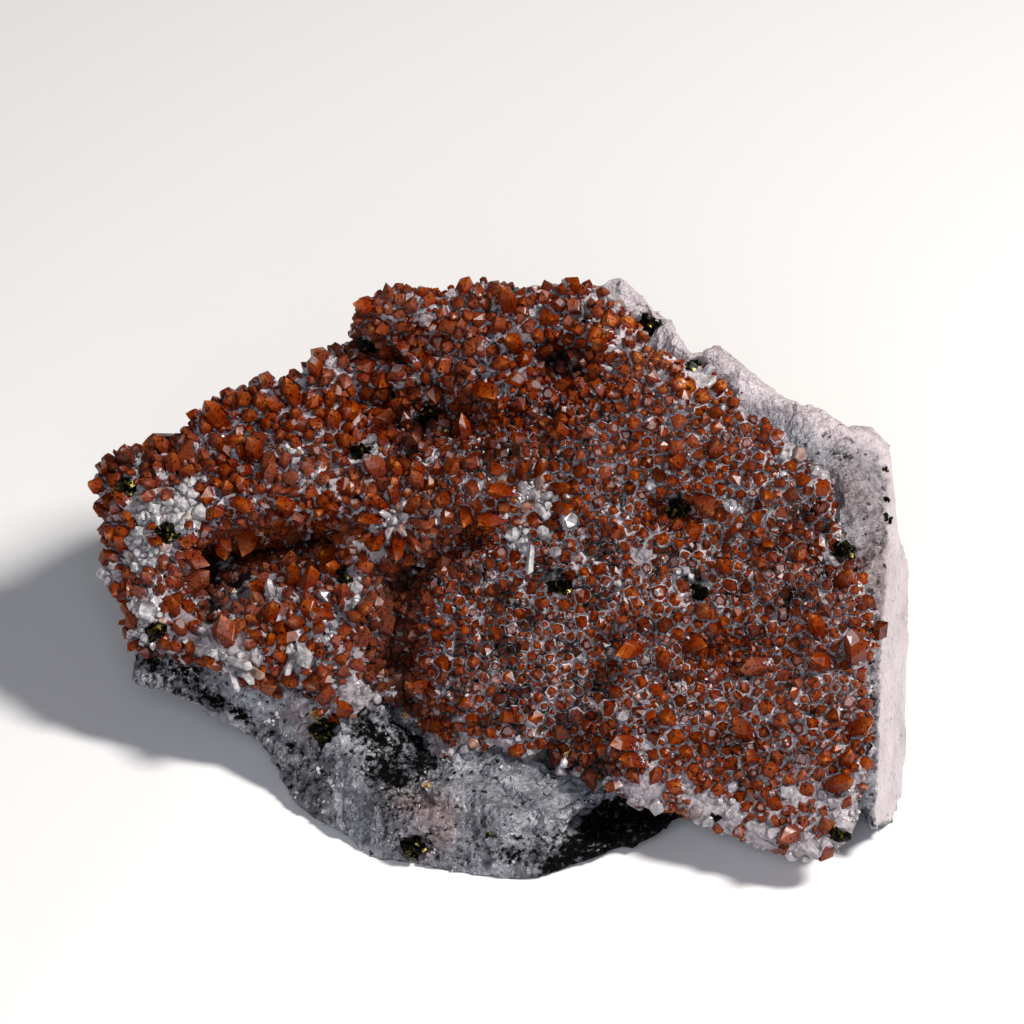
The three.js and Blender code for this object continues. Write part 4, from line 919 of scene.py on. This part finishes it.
def make_crystals(form, clear, rng):
    """The crust's crystals, each kind one piece."""
    stained = iron_stained_quartz()
    crystals, kinds = grow_crystals(form, rng)
    points, triangles, values = crystal_mesh(crystals, rng, fitted=True)
    u, v, w = lean(points).T
    # Margins paler partly as painted light, and crystals darkened in the pockets partly as painted shade.
    values["pale_and_painted_light"] = np.maximum(patch(u, v, GOLDEN_AND_PAINTED_LIGHT), patch(u, v, HAZY_AND_LIT_MARGINS))
    values["dirt"] = np.maximum(values["dirt"], 0.95 * patch(u, v, OXIDE_AND_SHADE_POCKETS))
    kinds[over_ore(crystals)] = "none"
    for kind in ("end_on", "leaning", "small", "clear", "bare"):
        chosen = np.flatnonzero(kinds == kind)[:, None]
        vertices = (chosen * CORNERS + np.arange(CORNERS)).ravel()
        renumber = np.zeros(len(points), dtype=int)
        renumber[vertices] = np.arange(len(vertices))
        own = renumber[triangles[(chosen * SIDES + np.arange(SIDES)).ravel()]]
        material = clear if kind in ("clear", "bare") else stained
        carried = {key: value[vertices] for key, value in values.items()}
        make_piece("crystals_" + kind, points[vertices], own, material, "red_quartz",
                   smooth=kind == "bare", **carried)


def make_sugar(form, clear, rng):
    """The last growth: tiny clear crystals that sparkle between the others, in groups."""
    where, facing = scatter(form, SUGAR_TRIES, rng)
    u, v, w = lean(where).T
    lift = bed_lumps(where)
    grouped = grain(where, 2.6, 9.0) + 0.5 * patch(u, v, MILKY) - 0.1 * patch(u, v, BARE)
    sugar = []
    for i in np.flatnonzero(grouped > 0.4):
        radius = 0.1 + 0.24 * rng.random() ** 2
        axis = unit(facing[i] + 0.7 * rng.normal(size=3))
        foot = where[i] + facing[i] * (lift[i] + 0.05 + 0.4 * rng.random() ** 2)
        shape = (radius, radius * 2.2, radius * 1.1, 0.4, 0, 0, 0.5, 0.7, 1)
        sugar.append((foot, axis, *shape, rng.random() ** 2, 1.0, 0))
    points, triangles, values = crystal_mesh(sugar, rng)
    make_piece("crystals_sugar", points, triangles, clear, "red_quartz", **values)


# ---- The block ----

VOXEL = 0.75
FLANK = unit(np.array([0.966, -0.211, 0.148]))  # the way that the fresh broken side on the right faces
BED_CLEARANCE = 1.2  # how far below the bed that covers it the block stays
FRONT_REACH = -34  # w down to which the front's pale and rose parts reach
RECESS_START = (5.6, 1.7)  # u, v on the line where the recess under the front starts
RECESS_SLOPE = (9.5, 8.7)
DEEPEST, HIGHEST = -1.6, 1.1  # how far the broken surface may leave the plain form


def past_recess_line(u, v):
    """Above 0 right of and below the line where the recess under the front starts."""
    return (u - RECESS_START[0]) * RECESS_SLOPE[0] - (v - RECESS_START[1]) * RECESS_SLOPE[1]


def remeshed(node):
    """Points, normals and polygons of a node, evenly remeshed."""
    source = new_object("remesh_source", node.data.copy())
    remesh = source.modifiers.new("even", "REMESH")
    remesh.mode = "VOXEL"
    remesh.voxel_size = VOXEL * MM
    even = source.evaluated_get(bpy.context.evaluated_depsgraph_get()).to_mesh()
    points, normals = np.empty((2, len(even.vertices) * 3))
    even.vertices.foreach_get("co", points)
    even.vertices.foreach_get("normal", normals)
    faces = [tuple(polygon.vertices) for polygon in even.polygons]
    bpy.data.objects.remove(source)
    return points.reshape(-1, 3) / MM, normals.reshape(-1, 3), faces


def roughened(points, normals, flank):
    """The block's points moved out of their plain form, flat at the foot and below the bed in front."""
    u, v, w = lean(points).T
    height = points[:, 2]
    facets = 2.2 * broken(points, 8.5) + 1.0 * broken(points, 3.6, 3.0) + 0.45 * broken(points, 1.7, 8.0)
    grooves = 0.9 * np.clip(swell(u, v, BLOCK_DARK), 0, 1) * (points[:, 1] < 20)
    shape = (facets + 0.22 * grain(points, 1.3) - grooves) * (1 - 0.8 * flank) * rise(height, 0.6, 2.1)
    moved = points + normals * np.clip(shape, DEEPEST, HIGHEST)[:, None]
    moved[:, 2] = np.where(height < 0.3, 0, np.maximum(moved[:, 2], 0))
    u, v, w = lean(moved).T
    middle = np.array([u, v]) - CENTRE[:, None]
    covered = outline_radius(np.arctan2(middle[1], middle[0])) - np.hypot(*middle) > 2
    above = np.where(covered, w - bed_height(u, v) + BED_CLEARANCE, 0)
    return moved - np.outer(np.clip(above, 0, 5), OUTWARD)


def block_dirt(points, normals, flank):
    """How dark the block is painted: painted shade, black in the recess and dark on faces that look down near
    the floor; dirt in its seams; and patchy all over.
    """
    u, v, w = lean(points).T
    ragged = 1.2 * grain(points, 3.0, 4.0)
    # Painted shade: the recess under the front is painted black.
    recess = rise(past_recess_line(u, v) + ragged * 8, 0, 14) * rise(u - ragged, 29.5, 26.5) * rise(v, 13, 11)
    recess = recess * (normals @ OUTWARD > -0.6)
    # Painted shade on faces that look down, near the floor.
    under = np.clip((0.1 - normals[:, 2]) * 1.2, 0, 1) * np.exp(-points[:, 2] / 5) * 0.5
    dark = 0.72 * swell(u, v, BLOCK_DARK) * (points[:, 1] < 20) * (0.8 + 0.5 * grain(points, 2.0, 6.0))
    patchy = 0.4 * np.clip(grain(points, 9, 2.0) * 1.5, 0, 1)
    return np.clip(np.maximum.reduce([recess * 1.4, under, dark, patchy]) * (1 - 0.9 * flank), 0, 1)


def make_block():
    """The block, which takes the place of its stand-in."""
    points, normals, faces = remeshed(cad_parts["matrix"])
    u, v, w = lean(points).T
    front = w > FRONT_REACH
    flank = rise(normals @ FLANK, 0.8, 0.95) * (points[:, 0] > 40)
    moved = roughened(points, normals, flank)
    piece = make_piece("vein_quartz_block", moved, faces, broken_vein_quartz(), "vein_quartz",
                       dirt=block_dirt(points, normals, flank),
                       fresh=np.clip(np.maximum(flank, swell(u, v, FRESH_RIM)), 0, 1),
                       pale=np.clip(swell(u, v, BLOCK_PALE), 0, 0.85) * front,
                       rose=np.clip(swell(u, v, BLOCK_ROSE), 0, 0.7) * front)
    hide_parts("matrix")
    return moved.tolist(), faces


# ---- The pyrite ----

CHAMFER = 0.09  # of a cube's edges, as a share of its size
CLUSTER_TRIES = 160  # places tried for the cubes of one cluster, and how many of them it has
CUBES_OF_CLUSTER = 46


def cut_cube():
    """Points and faces of a cube of size 1 with its corners and edges cut, one face for each way it looks."""
    corners = np.array(list(itertools.product((-1, 1), repeat=3))) / 2
    points = [corners * np.where(np.arange(3) == facet, 1, 1 - 2 * CHAMFER) for facet in range(3)]
    points = np.concatenate(points)
    faces = []
    for way in itertools.product((-1, 0, 1), repeat=3):
        if any(way):
            ring = np.flatnonzero(points @ way > (points @ way).max() - 0.001)
            across = points[ring] - points[ring].mean(axis=0)
            around = np.arctan2(across @ np.cross(way, across[0]), across @ across[0])
            faces.append(ring[np.argsort(around)].tolist())
    return points, faces


def cubes(centres, sizes, rng):
    """Points and faces of cubes turned at random."""
    template, template_faces = cut_cube()
    points, faces = [], []
    for i, (centre, size) in enumerate(zip(centres, sizes)):
        turn = np.linalg.qr(rng.normal(size=(3, 3)))[0]
        turn = turn * np.sign(np.linalg.det(turn))
        points.append(template * size @ turn.T + centre)
        faces += [[k + i * len(template) for k in face] for face in template_faces]
    return np.concatenate(points), faces


def make_clusters(pyrite):
    """Each cluster of pyrite as a lumpy heap of cubes in the box of its node."""
    rng = np.random.default_rng(5)
    for name in sorted(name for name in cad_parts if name.startswith("pyrite")):
        low, high = (np.array(corner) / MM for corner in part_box(name))
        spread = unit(rng.normal(size=(CLUSTER_TRIES, 3))) * rng.random((CLUSTER_TRIES, 1)) ** 0.6
        lumpy = grain(spread, 0.55, float(rng.random() * 50))
        spread = spread[np.argsort(-lumpy)[:CUBES_OF_CLUSTER]]
        centres = (low + high) / 2 + spread * ((high - low) / 2 * 0.86 - 0.4)
        sizes = 0.35 + 1.0 * rng.random(len(spread)) ** 2
        piece = make_piece(name + "_cubes", *cubes(centres, sizes, rng), pyrite, "pyrite")
        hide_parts(name)


# ---- Grains ----

# Black grains of ore that stand out, and pale ochre crumbs of limonite: u, v, size.
ORE_SPOTS = [
    (-21, 55.1, 1.2), (-10.9, 52.2, 1.1), (6.5, 76.1, 1.8), (45.7, 53.2, 1.2), (56.2, 52, 0.9),
    (55.8, 54.6, 0.8), (53.4, 31.6, 1.1), (31, 8.8, 1.1), (13.8, 26.4, 0.9), (8.8, 42.2, 1),
    (-6.6, 40, 0.9), (26.4, 33.6, 0.9), (44.4, 46.6, 1.4), (46.4, 44.4, 1.1), (40.6, 57.4, 0.9),
    (-25.4, 48.6, 1.1), (-29.6, 53, 0.9), (-17.6, 72, 1.5), (-15.6, 70, 1.3), (-10.6, 66.6, 1.4),
    (-8, 64.8, 1.2), (-12.4, 68.6, 1.1), (11.2, 73.6, 1.4), (-3.4, 28.6, 0.8), (18.2, 38.4, 0.8),
    (33.6, 18.4, 0.8), (-55.4, 57.2, 1.1), (-36.6, 45.4, 1), (-33, 45, 0.9), (22, 64.6, 0.8),
]
OCHRE_SPOTS = [(9.6, 18.3, 1.4), (-26.4, 23.4, 1.5), (1.4, 38, 0.9), (-13.6, 23.4, 0.9), (-10.6, 13.4, 0.8)]
BLOCK_FRONT = np.array([-54, 1])  # u, v of the lower left corner of the block's front
ORE_SPAN = np.array([66, 31])  # how far to the right and up from it the ore lies
CHIP_SPAN = np.array([72, 31])
ORE_TRIES = 900  # places tried for finer grains, over the crust and over the block's front
CHIP_TRIES = 2600


def on_surface(trees, u, v):
    """The outermost point of any of some meshes at u, v."""
    start = Vector(place([u], [v], [80])[0])
    hits = [tree.ray_cast(start, Vector(-OUTWARD))[0] for tree in trees]
    hits = [np.array(hit) for hit in hits if hit is not None]
    return max(hits, key=lambda hit: hit @ OUTWARD) if hits else None


def crumbs(spots, trees, rng, pieces):
    """Places and sizes of cubes heaped at each spot, reaching half its size to each side."""
    centres, sizes = [], []
    for u, v, size in spots:
        for _ in range(pieces if size > 0.6 else 2):
            at = on_surface(trees, u + 0.32 * size * rng.normal(), v + 0.32 * size * rng.normal())
            if at is not None:
                centres.append(at)
                sizes.append(size * (0.25 + 0.4 * rng.random()))
    return centres, sizes


def make_ore_grains(trees, pyrite, rng):
    """The ore that stands out, and finer grains of it, most of them in the crust's patches of dirt and
    painted shade and in the block's dark seams.
    """
    spots = list(ORE_SPOTS)
    low, high = OUTLINE.min(axis=0), OUTLINE.max(axis=0)
    tried = low + (high - low) * rng.random((ORE_TRIES, 2))
    for (u, v), chance in zip(tried, 0.22 + 0.5 * patch(*tried.T, DIRT_AND_SHADE_PATCHES)):
        if rng.random() < chance:
            spots.append((u, v, 0.25 + 0.5 * rng.random() ** 3))
    tried = BLOCK_FRONT + ORE_SPAN * rng.random((ORE_TRIES, 2))
    for (u, v), chance in zip(tried, 0.02 + 0.5 * swell(*tried.T, BLOCK_DARK)):
        if rng.random() < chance:
            spots.append((u, v, 0.2 + 0.5 * rng.random() ** 4))
    make_piece("ore_grains", *cubes(*crumbs(spots, trees, rng, 9), rng), pyrite, "pyrite")


def make_chips(block_tree, clear, rng):
    """Small bright chips of quartz on the block's front, in groups outside the recess."""
    chips = []
    for u, v in BLOCK_FRONT + CHIP_SPAN * rng.random((CHIP_TRIES, 2)):
        at = on_surface([block_tree], u, v)
        if at is not None and noise.noise(Vector(at) / 3) > 0.12 and past_recess_line(u, v) < 0:
            axis = unit(OUTWARD + rng.normal(size=3) * 0.9)
            radius = 0.08 + 0.26 * rng.random() ** 3
            shape = (radius, 0.1 + radius, radius, 0.4, 0, 0.3, 0.5, 0.7, 1)
            chips.append((at, axis, *shape, 0.6 * rng.random(), 0.8, 0))
    points, triangles, values = crystal_mesh(chips, rng)
    make_piece("quartz_chips", points, triangles, clear, "vein_quartz", **values)


def make_crumbs(trees, rng):
    """The crumbs of limonite."""
    points, faces = cubes(*crumbs(OCHRE_SPOTS, trees, rng, 14), rng)
    make_piece("limonite_crumbs", points, faces, limonite_ochre(), "vein_quartz")


# ---- The studio ----

VIEW_CENTRE = (1.74, 52.9, -12)  # u, v, w in the middle of the frame, which is FRAME_WIDTH wide there
FRAME_WIDTH = 148.5
DISTANCE = 1400
SENSOR = 36
FLOOR = 3.0  # metres from the middle to each side


def aim(thing, target):
    """Turns a light or camera towards a place."""
    direction = Vector(target) - thing.location
    thing.rotation_euler = direction.to_track_quat("-Z", "Y").to_euler()


def area_light(name, location, size, power, colour):
    """A round soft light that faces the specimen, in metres and watts."""
    data = bpy.data.lights.new(name, "AREA")
    data.shape = "DISK"
    data.size = size
    data.energy = power
    data.color = linear(colour)[:3]
    light = new_object(name, data)
    light.location = location
    aim(light, (0.0, 0.0, 0.03))


def make_camera():
    """A long lens that looks straight at the leaning front."""
    data = bpy.data.cameras.new("camera")
    data.sensor_width = SENSOR
    data.lens = SENSOR * DISTANCE / FRAME_WIDTH
    data.clip_end = 20
    camera = new_object("camera", data)
    target = place(*VIEW_CENTRE)[0] * MM
    camera.location = Vector(target + OUTWARD * DISTANCE * MM)
    aim(camera, target)
    bpy.context.scene.camera = camera


def make_studio():
    """A pale floor, a key light at the upper right, a weak fill in front and a dim white sky."""
    corners = [(FLOOR * x, FLOOR * y, 0) for x, y in ((-1, -1), (1, -1), (1, 1), (-1, 1))]
    floor = bpy.data.meshes.new("floor")
    floor.from_pydata(corners, [], [(0, 1, 2, 3)])
    material, _, shader, _ = new_material("pale_floor")
    fill(shader, {"Base Color": "#f3f3f4", "Roughness": 0.9})
    floor.materials.append(material)
    new_object("floor", floor)

    area_light("key", (0.5, -0.16, 0.66), 0.18, 8.8, "#fffaf4")
    area_light("front_fill", (-0.1, -0.75, 0.5), 0.5, 3.3, "#f1f4ff")
    world = bpy.data.worlds.new("studio")
    world.use_nodes = True
    fill(world.node_tree.nodes["Background"], {"Color": "#ffffff", "Strength": 0.07})
    bpy.context.scene.world = world
    bpy.context.scene.view_settings.view_transform = "Standard"


block = make_block()
clear = clear_quartz()
pyrite = tarnished_pyrite()

rng = np.random.default_rng(11)
form = crust_form()
bed = make_bed(form)
make_crystals(form, clear, rng)
make_sugar(form, clear, rng)

make_clusters(pyrite)

rng = np.random.default_rng(23)
trees = [bvhtree.BVHTree.FromPolygons(*surface) for surface in (block, bed)]
make_ore_grains(trees, pyrite, rng)
make_chips(trees[0], clear, rng)
make_crumbs(trees, rng)

make_camera()
make_studio()
